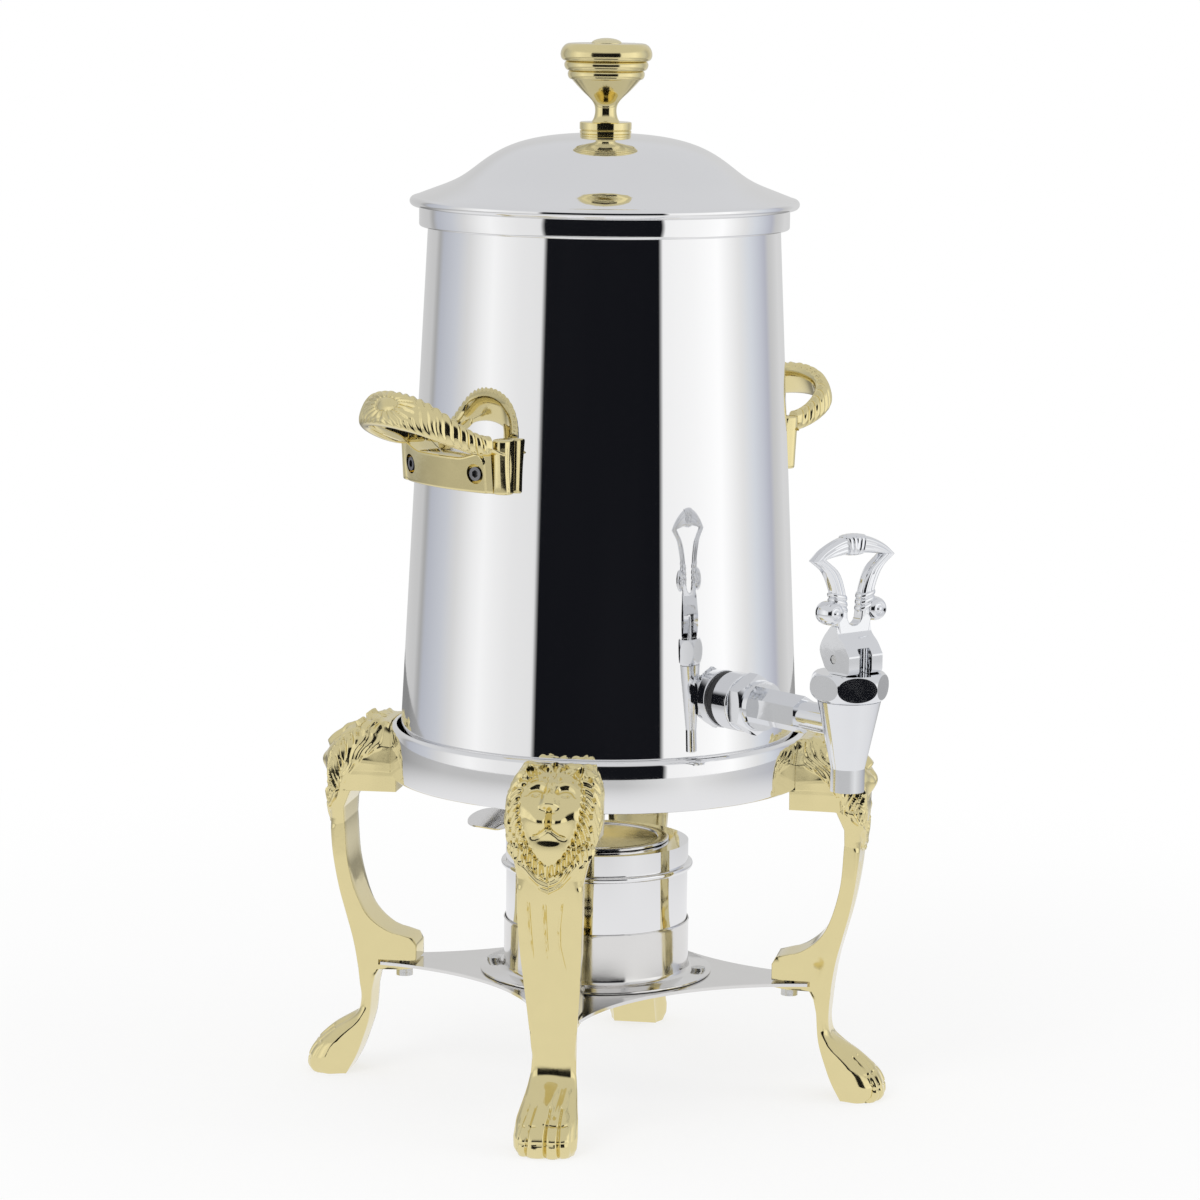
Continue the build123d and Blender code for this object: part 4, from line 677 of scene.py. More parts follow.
def paw(a, z):
    """Toes, their creases and the knuckles over them, by height."""
    shown = smooth(-z, -36.0, -26.0)
    toes = [(-9.6, -13.8), (-5.2, -8.4), (2.2, 1.5), (7.9, 8.2)]
    cut = np.zeros(np.shape(a))
    for high, low in toes:
        line = [(high, 22.5), ((high + low) / 2 - 0.4, 13.0), (low, 1.0)]
        cut = np.maximum(cut, stroke(a, z, line, 0.62))
    bulge = np.zeros(np.shape(a))
    for left, right in ((-13.8, -8.4), (-8.4, 1.5), (1.5, 8.2), (8.2, 14.5)):
        middle, half = (left + right) / 2, (right - left) / 2
        bulge = np.maximum(bulge, np.clip(1 - ((a - middle) / half) ** 2, 0, 1) ** 0.6)
    bulge = bulge * smooth(-z, -19.0, -11.0)
    creases = stroke(a, z, [(-14.0, 14.2), (0.0, 15.2), (12.0, 15.6)], 0.4)
    creases = np.maximum(creases, 0.9 * stroke(a, z, [(-15.0, 6.6), (0.0, 7.4), (12.0, 7.8)], 0.4))
    instep = 1.4 * stroke(a, z, [(-1.5, 36.0), (-1.0, 26.0), (-0.5, 18.0)], 5.0)
    hollow = -0.8 * stroke(a, z, [(5.5, 30.0), (4.0, 20.0)], 1.6)
    claws = 0.5 * lump(a, z, (-3.4, 3.4), (2.6, 2.0)) + 0.4 * lump(a, z, (4.9, 3.4), (2.0, 2.0))
    return shown * (1.1 * bulge - 1.2 * cut * (z < 24.5) - 0.6 * creases + instep + hollow + claws)


def carving(a, v, z):
    """How far the carving stands out of the leg's plain shape."""
    return mask(a, v) * (v < MASK_LENGTH) + shin(a, v) + paw(a, z)


def front_outline(half, corner, reach):
    """Across and inward of the front's outline, at distances round it from the middle."""
    flat = half - corner
    m = np.abs(reach)
    bend = np.clip((m - flat) / corner, 0, pi / 2)
    past = np.clip(m - flat - corner * pi / 2, 0, None)
    across = np.where(m < flat, m, flat + corner * np.sin(bend))
    return np.sign(reach) * across, corner * (1 - np.cos(bend)) + past


def sag(across):
    """How far the ring's face falls back at a distance to the side."""
    return RING_FACE - np.sqrt(RING_FACE**2 - across**2)


def narrowing(deep, half, rear, corner, depth):
    """Share of its front width that the leg keeps at a distance behind its front."""
    return 1 - (1 - rear / half) * smooth(deep, 0.7 * corner, min(depth, corner + REAR_REACH))


def make_legs():
    """One carved casting, used four times."""
    rows, front, back = leg_grid()
    inward = back - front
    depth = np.linalg.norm(inward, axis=1)
    inward = inward / depth[:, None]
    half = np.interp(-front[:, 1], [-z for z, _ in LEG_WIDTH], [w for _, w in LEG_WIDTH])
    corner = np.interp(-front[:, 1], [-z for z, _ in LEG_CORNER], [c for _, c in LEG_CORNER])
    corner = np.minimum(corner, np.minimum(0.7 * depth, 0.8 * half))
    side = np.clip(depth - corner - BACK_ROUND - 1.5, 0.1, SIDE_CARVING)
    edge = half - corner + corner * pi / 2 + side
    share = np.linspace(-1, 1, FRONT_COLUMNS + 1)
    reach = edge[:, None] * share[None, :]
    rear = np.interp(-front[:, 1], [-z for z, _ in LEG_REAR], [w for _, w in LEG_REAR])
    across = np.zeros_like(reach)
    deep = np.zeros_like(reach)
    for k in range(len(rows)):
        across[k], deep[k] = front_outline(half[k], corner[k], reach[k])
        across[k] *= narrowing(deep[k], half[k], rear[k], corner[k], depth[k])
    place = np.stack(
        [
            front[:, None, 0] + inward[:, None, 0] * deep,
            across,
            front[:, None, 1] + inward[:, None, 1] * deep,
        ],
        axis=-1,
    )
    down = np.gradient(place, rows, axis=0)
    right = np.gradient(place, axis=1)
    normal = np.cross(down, right)
    normal /= np.maximum(np.linalg.norm(normal, axis=-1, keepdims=True), 1e-9)
    if normal[len(rows) // 2, FRONT_COLUMNS // 2, 0] < 0:
        normal = -normal
    height = carving(reach, np.broadcast_to(rows[:, None], reach.shape), place[:, :, 2])
    fade = smooth(1 - np.abs(share), 0.0, 0.06)[None, :]
    place = place + normal * (height * fade)[..., None]
    place[:, :, 0] = np.maximum(place[:, :, 0], RING_FACE * (front[:, None, 1] > 150))
    place[:, :, 2] = np.clip(place[:, :, 2], 0.0, None)
    against = np.abs(back[:, 0] - RING_FACE) < 0.3  # rows that end on the ring
    rings = []
    for k in range(len(rows)):
        ring = [tuple(p) for p in place[k]]
        start, end = corner[k] + side[k], depth[k] - BACK_ROUND
        q = list(np.linspace(start, end, SIDE_COLUMNS + 1)[1:])
        y = [half[k]] * SIDE_COLUMNS
        for turn in (30, 60, 90):
            q.append(end + BACK_ROUND * sin(radians(turn)))
            y.append(half[k] - BACK_ROUND * (1 - cos(radians(turn))))
        for t in np.linspace(0, 1, BACK_COLUMNS + 1)[1:-1]:
            q.append(depth[k])
            y.append((half[k] - BACK_ROUND) * (1 - 2 * t))
        for turn in (90, 60, 30):
            q.append(end + BACK_ROUND * sin(radians(turn)))
            y.append(-half[k] + BACK_ROUND * (1 - cos(radians(turn))))
        q += list(np.linspace(start, end, SIDE_COLUMNS + 1)[1:][::-1])
        y += [-half[k]] * SIDE_COLUMNS
        y = np.array(y) * narrowing(np.array(q), half[k], rear[k], corner[k], depth[k])
        for qq, yy in zip(q, y):
            x = front[k, 0] + inward[k, 0] * qq - sag(yy) * against[k] * (qq / depth[k]) ** 2
            ring.append((x, yy, max(0.0, front[k, 1] + inward[k, 1] * qq)))
        rings.append(ring)
    size = len(rings[0])
    points = [p for ring in rings for p in ring]
    faces = ring_faces(len(rings), size)
    faces.append(tuple(range(size)))
    faces.append(tuple((len(rings) - 1) * size + j for j in range(size)))
    first = None
    for name, angle in LEG_NODES.items():
        if first is None:
            first = piece(name + "_casting", points, faces, "polished_brass", "stand", (name,), 50.0)
            cut(first, [box_points(*PLATE_SLOT)], 50.0)
            leg = first
        else:
            leg = bpy.data.objects.new(name + "_casting", first.data)
            settle(leg, "stand", (name,))
        leg.matrix_world = Matrix.Rotation(radians(angle), 4, "Z")


# ---------------------------------------------------------------- solid helpers
def box_points(low, high):
    """Corners and faces of an upright box."""
    corners = [(x, y, z) for z in (low[2], high[2]) for y in (low[1], high[1]) for x in (low[0], high[0])]
    faces = [(0, 2, 3, 1), (4, 5, 7, 6), (0, 1, 5, 4), (2, 6, 7, 3), (0, 4, 6, 2), (1, 3, 7, 5)]
    return corners, faces


def rod_points(start, end, radius, count=64):
    """Points and faces of a round bar between two places."""
    start, end = Vector(start), Vector(end)
    turn = (end - start).to_track_quat("Z", "Y")
    points = []
    for base in (start, end):
        for k in range(count):
            angle = 2 * pi * k / count
            points.append(tuple(base + turn @ Vector((radius * cos(angle), radius * sin(angle), 0))))
    return points, prism_faces(count)


def cut(thing, cutters, sharp=SMOOTH_ANGLE):
    """Take solids, given as points and faces in millimetres, out of a mesh."""
    for points, faces in cutters:
        mesh = bpy.data.meshes.new("cutter")
        mesh.from_pydata([Vector(p) * MM for p in points], [], faces)
        cutter = bpy.data.objects.new("cutter", mesh)
        bpy.context.scene.collection.objects.link(cutter)
        modifier = thing.modifiers.new("cut", "BOOLEAN")
        modifier.operation = "DIFFERENCE"
        modifier.solver = "EXACT"
        modifier.object = cutter
        bpy.context.view_layer.update()
        graph = bpy.context.evaluated_depsgraph_get()
        result = bpy.data.meshes.new_from_object(thing.evaluated_get(graph))
        thing.modifiers.clear()
        thing.data = result
        bpy.data.objects.remove(cutter)
    shade(thing.data, sharp)


def tube(rings):
    """Points and faces through closed rings, with both ends capped."""
    size = len(rings[0])
    points = [tuple(p) for ring in rings for p in ring]
    faces = ring_faces(len(rings), size)
    faces.append(tuple(range(size))[::-1])
    faces.append(tuple((len(rings) - 1) * size + j for j in range(size)))
    return points, faces


def lathe(profile, count=160, centre=(0.0, 0.0), axis="Z"):
    """Points and faces of a profile of (radius, height) turned about an upright or level axis."""
    points, faces = [], []
    for radius, height in profile:
        for k in range(count):
            angle = 2 * pi * k / count
            x, y = radius * cos(angle), radius * sin(angle)
            if axis == "Z":
                points.append((centre[0] + x, centre[1] + y, height))
            else:
                points.append((centre[0] + x, height, centre[1] + y))
    for j in range(len(profile) - 1):
        for k in range(count):
            a, b = j * count + k, j * count + (k + 1) % count
            faces.append((a, b, b + count, a + count))
    return points, faces


def joined(*solids):
    """Several sets of points and faces as one."""
    points, faces = [], []
    for more_points, more_faces in solids:
        start = len(points)
        points += [tuple(p) for p in more_points]
        faces += [tuple(start + k for k in face) for face in more_faces]
    return points, faces


def lobes(phase):
    """Rounded ridges with sharp valleys, one to each whole number."""
    p = phase - np.floor(phase)
    return np.sqrt(np.clip(1 - (2 * p - 1) ** 2, 0, 1))


# ---------------------------------------------------------------- side handles
PLATE_LOW = 316.5
PLATE_MIDDLE_TOP = 333.8
PLATE_END_TOP = 337.5
PLATE_FACE = 104.4
PLATE_FIELD = 103.3  # the lower face round the raised one
PLATE_TURN = 19.2
PLATE_SPLAY = 0.12  # how far the face leans out, per unit of height
RAISED_TURN = 17.4
POST_TURNS = (18.4, 24.0)
POST_TOP = 343.3
HANDLE_SCREW_TURN = 14.0
HANDLE_SCREW_Z = 326.0
COUNTERBORE = (4.9, 4.2)
GRIP_ENDS = (100.5, 33.3, 340.2)
GRIP_TIP = (135.0, 357.4)
LOOP_POINTS = 401  # along the grip's middle line
WEB_STEPS = 150  # of those points, from each end
WEB_FULL = 0.75  # share of the skirt's length over which it comes down to the plate
WEB_HOLD = (0.35, 0.80)  # its upper and lower edge under the loop, in the loop's half widths
WEB_FOOT_SINK = (2.2, 1.0)  # into the plate's face, and below its upper edge
WEB_BOW = (-2.0, 0.0, 1.0)
WEB_WIDTH = (0.62, 1.7)  # share of the loop's thickness at the top, and half width at the foot
WEB_POINTS = 9
WEB_TIP = 1.2
GRIP_LEAN = 0.56  # how far the band tips outward at the middle
GRIP_SWELL = 0.32  # how much the loop widens between its ends and its tip
ROSETTE = (6.8, 2.1)
FLUTE_PITCH = 4.8


def wall_line(z):
    """The tapering wall's outer radius at a height."""
    return 101.5 + (88.45 - 101.5) * (z - 172.0) / 269.0


def grip_relief(s, q, half):
    """Flutes, the rosette and its petals on the grip's outer face."""
    e = np.hypot(s / ROSETTE[0], (q - 0.8) / ROSETTE[1])
    boss = 1.25 * np.sqrt(np.clip(1 - e**2, 0, 1))
    ring = smooth(e, 1.0, 1.25)
    petal_angle = np.arctan2((q - 0.8) / ROSETTE[1], s / ROSETTE[0])
    petals = 0.8 * soft_ridge(petal_angle * 9 / pi + 0.5) * ring
    m = np.abs(s)
    drop = half - q
    flutes = 0.9 * soft_ridge((m - 0.85 * drop + 1.1 * np.sin(drop / 3.0)) / FLUTE_PITCH)
    away = smooth(e, 2.3, 3.2)
    carved = petals * (1 - away) + flutes * away
    rim = smooth(q / half, -0.86, -0.66)
    carved = carved * rim + 0.9 * (1 - rim)
    return boss + carved * ring


def grip_frame():
    """The loop's middle line, the ways out and up from it, and its half width and thickness."""
    t = np.linspace(0, pi, LOOP_POINTS)
    x0, y0, z0 = GRIP_ENDS
    line = np.stack(
        [
            x0 + (GRIP_TIP[0] - x0) * np.sin(t) ** 0.8,
            -y0 * np.cos(t) * (1 + GRIP_SWELL * np.sin(t) ** 2),
            z0 + (GRIP_TIP[1] - z0) * np.sin(t) ** 1.3,
        ],
        axis=1,
    )
    ahead = np.gradient(line, axis=0)
    ahead /= np.linalg.norm(ahead, axis=1)[:, None]
    lean = GRIP_LEAN * np.sin(t) ** 1.5
    up = np.stack([-np.sin(lean), 0 * lean, np.cos(lean)], axis=1)
    out = np.cross(ahead, up)
    out /= np.linalg.norm(out, axis=1)[:, None]
    up = np.cross(out, ahead)
    return line, out, up, 5.0 + 4.2 * np.sin(t) ** 2.0, 3.5 + 0.7 * np.sin(t)


def make_web(side):
    """The thin skirt under one end of the loop, which runs down into the plate."""
    line, out, up, half, thick = grip_frame()
    rings = []
    for k in range(0, WEB_STEPS + 1, 3):
        j = k if side < 0 else len(line) - 1 - k
        share = smooth(1 - k / WEB_STEPS, 0.0, WEB_FULL)
        turn = radians(side * (POST_TURNS[1] - 1.0) * (1 - k / len(line) * 2.0))
        foot_z = plate_top(abs(np.degrees(turn))) - WEB_FOOT_SINK[1]
        foot_r = PLATE_FACE + PLATE_SPLAY * (foot_z - PLATE_LOW) - WEB_FOOT_SINK[0]
        foot = np.array([foot_r * cos(turn), foot_r * sin(turn), foot_z])
        top = line[j] - up[j] * half[j] * WEB_HOLD[0]
        low = line[j] - up[j] * half[j] * WEB_HOLD[1]
        low = low + (foot - low) * share
        middle = (top + low) / 2 + np.array(WEB_BOW) * share
        spine = dense([top, middle, low], 1.0)
        spine = along(spine, lengths(spine), np.linspace(0, lengths(spine)[-1], WEB_POINTS))
        width = np.interp(np.linspace(0, 1, WEB_POINTS), [0, 1], [WEB_WIDTH[0] * thick[j], WEB_WIDTH[1]])
        across = out[j] / np.linalg.norm(out[j])
        front = spine + across * width[:, None]
        rear = spine - across * width[:, None]
        tip = spine[-1] + (spine[-1] - spine[-2]) / np.linalg.norm(spine[-1] - spine[-2]) * WEB_TIP
        rings.append([tuple(q) for q in front] + [tuple(tip)] + [tuple(q) for q in rear[::-1]])
    return tube(rings)


def make_grip():
    """The handle's loop, as a band that tips outward towards its middle."""
    line, out, up, half, thick = grip_frame()
    reach = lengths(line)
    place = reach - reach[-1] / 2
    phi = np.concatenate([np.linspace(-0.62, 0.62, 81) * pi, np.linspace(0.66, 1.34, 15) * pi])
    c, n = np.cos(phi), np.sin(phi)
    flat = np.sign(c) * np.abs(c) ** 0.75
    wide = np.sign(n) * np.abs(n) ** 0.85
    wrapped = np.where(phi > pi, phi - 2 * pi, phi)
    q = half[:, None] * wrapped[None, :] / (pi / 2)
    carved = grip_relief(place[:, None], np.clip(q, -half[:, None], half[:, None]), half[:, None])
    shown = np.where(n >= 0, smooth(c, -0.45, 0.0), smooth(c, 0.0, 0.4))[None, :]
    ends = smooth(reach, 1.0, 6.0) * smooth(reach[-1] - reach, 1.0, 6.0)
    carved = (carved - 0.75) * shown * ends[:, None]
    rings = (
        line[:, None, :]
        + out[:, None, :] * (thick[:, None] * flat[None, :] + carved * np.clip(c, 0, 1)[None, :])[..., None]
        + up[:, None, :] * (half[:, None] * wide[None, :] + carved * n[None, :] * (n > 0))[..., None]
    )
    return tube(list(rings))


def plate_top(turn):
    """Height of the plate's upper edge, by degrees from its middle."""
    return PLATE_MIDDLE_TOP + (PLATE_END_TOP - PLATE_MIDDLE_TOP) * smooth(abs(turn), 8.0, 17.5)


def plate_face(turn, z):
    """Distance of the plate's face from the axis: a raised field with round upper corners."""
    arc = radians(1) * PLATE_FACE * (RAISED_TURN - np.abs(turn))
    corner = 6.5
    high = PLATE_END_TOP - z
    inside = np.minimum(arc, high)
    both = (arc < corner) & (high < corner)
    inside = np.where(both, corner - np.hypot(corner - arc, corner - high), inside)
    splay = PLATE_SPLAY * (z - PLATE_LOW)
    return PLATE_FIELD + splay + (PLATE_FACE - PLATE_FIELD) * smooth(inside, 0.0, 1.1)


def make_plate():
    """The curved plate, higher at its ends; the counterbores for its two screws are cut later, in
    make_handles.
    """
    turns = np.linspace(-PLATE_TURN, PLATE_TURN, 181)
    rings = []
    for turn in turns:
        top = plate_top(turn)
        z = np.linspace(PLATE_LOW, top, 49)
        r = plate_face(turn, z)
        edge = np.clip(1.4 - np.minimum(z - PLATE_LOW, top - z), 0, 1.4)
        r = r - (1.4 - np.sqrt(1.4**2 - edge**2))
        ring = [(a, b) for a, b in zip(r, z)]
        ring.append((wall_line(top) + 0.15, top))
        ring.append((wall_line(PLATE_LOW) + 0.15, PLATE_LOW))
        rings.append([(a * cos(radians(turn)), a * sin(radians(turn)), b) for a, b in ring])
    return tube(rings)


def make_post(side):
    """A rounded post at the plate's end, between the wall and the plate's field."""
    low, high = (radians(side * a) for a in POST_TURNS)
    middle, half = (low + high) / 2, abs(high - low) / 2 * PLATE_FACE
    rings = []
    steps = [(0.0, 0.82), (0.25, 0.92), (0.8, 0.985), (1.6, 1.0)]
    heights = [(PLATE_LOW + d, k) for d, k in steps]
    heights += [(z, 1.0) for z in np.linspace(PLATE_LOW + 4, POST_TOP - 4, 8)]
    heights += [(POST_TOP - d, k) for d, k in reversed(steps)]
    for z, share in heights:
        inner = wall_line(z) + 0.15
        rise = (z - PLATE_LOW) / (POST_TOP - PLATE_LOW)
        depth = PLATE_FACE + PLATE_SPLAY * 0.5 * (z - PLATE_LOW) - 0.3 - inner
        ring = []
        for k in range(48):
            angle = 2 * pi * k / 48
            across = half * share * np.sign(cos(angle)) * abs(cos(angle)) ** 0.85
            out = inner + depth / 2 + depth / 2 * share * np.sign(sin(angle)) * abs(sin(angle)) ** 0.75
            waist = 1.0 - 0.10 * sin(pi * rise) * (sin(angle) > 0)
            turn = middle + across * waist / PLATE_FACE
            ring.append((out * cos(turn), out * sin(turn), z))
        rings.append(ring)
    return tube(rings)


def make_handles():
    """Two cast handles, each a plate with two posts and a loop."""
    bores = []
    for turn in (-HANDLE_SCREW_TURN, HANDLE_SCREW_TURN):
        way = Vector((cos(radians(turn)), sin(radians(turn)), 0))
        height = Vector((0, 0, HANDLE_SCREW_Z))
        seat = way * (PLATE_FACE - COUNTERBORE[1]) + height
        bores.append(rod_points(seat, way * (PLATE_FACE + 5) + height, COUNTERBORE[0]))
    plate = piece("handle_plate", *make_plate(), "polished_brass", "vessel", ())
    cut(plate, bores)
    bevel(plate, 0.35)
    posts = piece("handle_posts", *joined(make_post(-1), make_post(1)), "polished_brass", "vessel", (), 50.0)
    webs = piece("handle_webs", *joined(make_web(-1), make_web(1)), "polished_brass", "vessel", (), 50.0)
    grip = piece("handle_grip", *make_grip(), "polished_brass", "vessel", ("handle_right",), 40.0)
    for thing in (plate, posts, webs, grip):
        thing.name = thing.name + "_right"
        other = bpy.data.objects.new(thing.name.replace("right", "left"), thing.data)
        settle(other, "vessel", ("handle_left",) if thing == grip else ())
        other.matrix_world = Matrix.Rotation(pi, 4, "Z")
        if thing == plate:
            bevel(other, 0.35)


def bevel(thing, width, angle=38.0, segments=2):
    """Rounded edges, so that they catch the light."""
    modifier = thing.modifiers.new("edges", "BEVEL")
    modifier.width = width * MM
    modifier.segments = segments
    modifier.limit_method = "ANGLE"
    modifier.angle_limit = radians(angle)
    modifier.harden_normals = True


# ---------------------------------------------------------------- tap lever
LEVER_AXIS = -184.93
PIN_Z = 247.0
EAR_HALF_WIDTH = 11.0
EAR_FRONT = [(11.0, 2.5), (7.5, 7.6), (3.2, 11.8), (2.2, 15.7)]
EAR_BACK = [(-2.2, 15.7), (-7.2, 9.6), (-9.4, 3.5), (-6.0, -4.0)]
EAR_FOOT = [(-2.0, -6.9), (9.0, -6.9), (10.4, -6.3), (11.0, -4.9)]
SLOT_HALF_WIDTH = 4.0
SLOT_TOP = 5.6
PIN_BORE = 2.1
LIMB_OUTSIDE = [(12.2, 23.0), (12.5, 27.0), (13.8, 34.0), (18.5, 42.5), (26.2, 48.3)]
LIMB_INSIDE = [(4.4, 19.0), (5.0, 26.0), (5.9, 33.0), (9.9, 42.0), (18.5, 48.8)]
CROWN_TOP = [(26.2, 48.3), (20.5, 52.9), (13.6, 56.3), (7.0, 58.3), (0.0, 58.9)]
CROWN_INSIDE = [(18.5, 48.8), (14.0, 49.3), (9.25, 49.8), (4.6, 50.1), (0.0, 50.2)]
REED_DEPTH = 0.8
LOOP_HALF_DEPTH = 3.4
NECK_HALF_DEPTH = 3.0
SCROLL = (14.0, 22.7)
SCROLL_PROFILE = [
    (0.0, 6.1), (1.1, 6.1), (1.6, 5.7), (1.9, 4.9), (2.6, 4.8), (3.0, 5.4), (3.5, 5.7), (4.1, 5.5),
    (4.7, 4.8), (5.3, 3.7), (5.7, 2.1), (5.85, 0.0),
]


def strip(outer, inner, depth, reeds):
    """Rings of a reeded bar between two lines in the lever's front view."""
    rings = []
    angles = np.linspace(0, 2 * pi, 73)[:-1]
    c, n = np.cos(angles), np.sin(angles)
    for a, b in zip(outer, inner):
        middle, half = (a + b) / 2, (a - b) / 2
        u = np.sign(c) * np.abs(c) ** 0.7
        y = depth * np.sign(n) * np.abs(n) ** 0.55
        ridge = reeds * lobes((u + 1) * 1.5 - 1e-6) * smooth(np.abs(n), 0.15, 0.5)
        y = y - np.sign(n) * (reeds * smooth(np.abs(n), 0.15, 0.5) - ridge)
        rings.append([(middle[0] + half[0] * uu, yy, middle[1] + half[1] * uu) for uu, yy in zip(u, y)])
    return rings


def even(points, count):
    """A smooth curve through points, at even steps."""
    line = dense(points, 0.1)
    reach = lengths(line)
    return along(line, reach, np.linspace(0, reach[-1], count))


def mirrored(points, faces):
    """A copy on the other side of the lever's middle."""
    return [(-x, y, z) for x, y, z in points], [tuple(reversed(face)) for face in faces]


def bead(outer, inner, swell):
    """A cord tied round a limb, as a ring that bulges."""
    rings = []
    for k in range(9):
        angle = pi * k / 8
        grow = swell * sin(angle)
        a = outer[0] + (outer[1] - outer[0]) * (0.5 - 0.5 * cos(angle))
        b = inner[0] + (inner[1] - inner[0]) * (0.5 - 0.5 * cos(angle))
        middle, half = (a + b) / 2, (a - b) / 2
        long = 1 + grow / np.linalg.norm(half)
        ring = []
        for j in range(48):
            c, n = cos(2 * pi * j / 48), sin(2 * pi * j / 48)
            u = long * np.sign(c) * abs(c) ** 0.75
            y = (LOOP_HALF_DEPTH - 0.3 + grow) * np.sign(n) * abs(n) ** 0.6
            ring.append((middle[0] + half[0] * u, y, middle[1] + half[1] * u))
        rings.append(ring)
    return tube(rings)


def binding():
    """The folded wrap at the middle of the crown."""
    rings = []
    for x in np.linspace(-6.6, 6.6, 67):
        top = 59.6 - 0.016 * x**2
        low = 49.3 + 0.01 * x**2
        ring = []
        for j in range(96):
            c, n = cos(2 * pi * j / 96), sin(2 * pi * j / 96)
            z = (top + low) / 2 + (top - low) / 2 * np.sign(c) * abs(c) ** 0.6
            place = x * (1 - 0.26 * (top - z) / (top - low))
            fold = lobes((abs(place) - 0.16 * (z - low)) / 2.6 + 0.5)
            edge = smooth(6.6 - abs(x), 0.0, 0.7)
            y = (LOOP_HALF_DEPTH + 0.1 + 0.75 * fold * edge - 0.6 * (1 - edge)) * np.sign(n) * abs(n) ** 0.5
            ring.append((place, y, z - 0.25 * (1 - fold) * np.sign(c) * (abs(c) > 0.3)))
        rings.append(ring)
    return tube(rings)


def lever_block():
    """The leaf-shaped block that hangs on the pin, before its slot is cut."""
    side = list(dense(EAR_FRONT, 0.5)) + list(dense(EAR_BACK, 0.5)) + [np.array(p) for p in EAR_FOOT]
    points = [(x, -a, z) for x in (-EAR_HALF_WIDTH, EAR_HALF_WIDTH) for a, z in side]
    return points, prism_faces(len(side))


def make_lever():
    """The ornamental lever: ears, neck, two scrolls and a reeded loop."""
    limb_out, limb_in = even(LIMB_OUTSIDE, 60), even(LIMB_INSIDE, 60)
    limb = tube(strip(limb_out, limb_in, LOOP_HALF_DEPTH, REED_DEPTH))
    top = even(CROWN_TOP, 60)
    low = even(CROWN_INSIDE, 60)
    whole_top = np.vstack([top[:-1], (top * [-1, 1])[::-1]])
    whole_low = np.vstack([low[:-1], (low * [-1, 1])[::-1]])
    crown = tube(strip(whole_top, whole_low, LOOP_HALF_DEPTH, REED_DEPTH))
    cords = [bead(limb_out[[k, k + 5]], limb_in[[k + 2, k + 7]], 0.8) for k in (3, 8, 13)]
    profile = SCROLL_PROFILE[:-1] + [(r, -h) for r, h in SCROLL_PROFILE[::-1]]
    scroll = lathe(profile, 72, SCROLL, "Y")
    neck_side = [(0.0, 12.0), (9.3, 12.0), (10.6, 18.0), (12.2, 23.5), (8.0, 27.0), (5.0, 25.0), (4.4, 19.2)]
    neck_side += [(3.3, 17.2), (1.6, 16.2), (0.0, 16.0)]
    outline = neck_side + [(-x, z) for x, z in neck_side[-2:0:-1]]
    neck = [(x, y, z) for y in (-NECK_HALF_DEPTH, NECK_HALF_DEPTH) for x, z in outline]
    half = [limb, scroll] + cords
    loop = joined(*half, *[mirrored(*solid) for solid in half], crown, binding())
    place = Matrix.Translation((0, LEVER_AXIS * MM, PIN_Z * MM))
    loop = piece("lever_loop", *loop, "chrome_plate", "lever", (), 42.0)
    neck = piece("lever_neck", neck, prism_faces(len(outline)), "chrome_plate", "lever", (), 42.0)
    block = piece("lever_ears", *lever_block(), "chrome_plate", "lever", ("tap_lever",), 25.0)
    slot = box_points((-SLOT_HALF_WIDTH, -20.0, -20.0), (SLOT_HALF_WIDTH, 20.0, SLOT_TOP))
    cut(block, [slot, rod_points((-15, 0, 0), (15, 0, 0), PIN_BORE)], 25.0)
    bevel(block, 0.7, 30.0, 3)
    bevel(neck, 0.7, 30.0, 3)
    for thing in (loop, neck, block):
        thing.matrix_world = place


# ---------------------------------------------------------------- knob
KNOB_BASE = 493.4
KNOB_STEM = [
    (7.1, 0.0), (6.1, 1.7), (5.55, 3.6), (5.35, 5.6), (5.6, 7.8), (6.6, 9.9),
    (8.4, 12.0), (11.2, 14.6), (14.3, 17.8), (17.3, 21.1),
]
# Each rib's lower and upper edge, as (radius, height), and how far it swells past them.
KNOB_RIBS = [
    ((17.5, 21.1), (18.1, 25.4), 1.4),
    ((18.5, 25.4), (19.4, 30.2), 2.0),
    ((20.0, 30.2), (18.2, 39.0), 3.7),
]
COLLAR_PROFILE = [
    (0.0, 487.4), (12.5, 487.4), (12.9, 487.8), (12.9, 489.0), (12.5, 489.3), (12.5, 489.5), (13.0, 489.8),
    (13.0, 493.0), (12.6, 493.4), (0.0, 493.4),
]
BUTTON_PROFILE = [(0.0, 526.4), (3.0, 526.4), (3.0, 532.0), (7.2, 532.0)]


def swell(low, high, out, steps=18):
    """A rounded rib between two edges of a turned profile."""
    line = []
    for k in range(steps + 1):
        t = k / steps
        rise = (1 - cos(pi * t)) / 2
        radius = low[0] + (high[0] - low[0]) * rise + out * sin(pi * t) ** 0.9
        line.append((radius, low[1] + (high[1] - low[1]) * rise))
    return line


def make_knob():
    """The turned knob with its rounded ribs, its collar and the pale button on top."""
    profile = [(0.0, 0.0)] + [tuple(p) for p in dense(KNOB_STEM, 0.6)]
    for low, high, out in KNOB_RIBS:
        profile += swell(low, high, out)
    profile.append((0.0, KNOB_RIBS[-1][1][1]))
    points, faces = lathe([(r, KNOB_BASE + z) for r, z in profile])
    piece("knob_turned", points, faces, "polished_brass", "lid", ("lid_knob",), 40.0)
    piece("knob_collar_turned", *lathe(COLLAR_PROFILE), "polished_brass", "lid", ("knob_collar",))
    dome = [(7.6 * cos(t), 532.3 + 2.7 * sin(t)) for t in np.linspace(0, pi / 2, 20)]
    dome[-1] = (0.0, 535.0)
    piece("knob_button_dome", *lathe(BUTTON_PROFILE + dome), "satin_brass", "lid", ("knob_button",), 60.0)


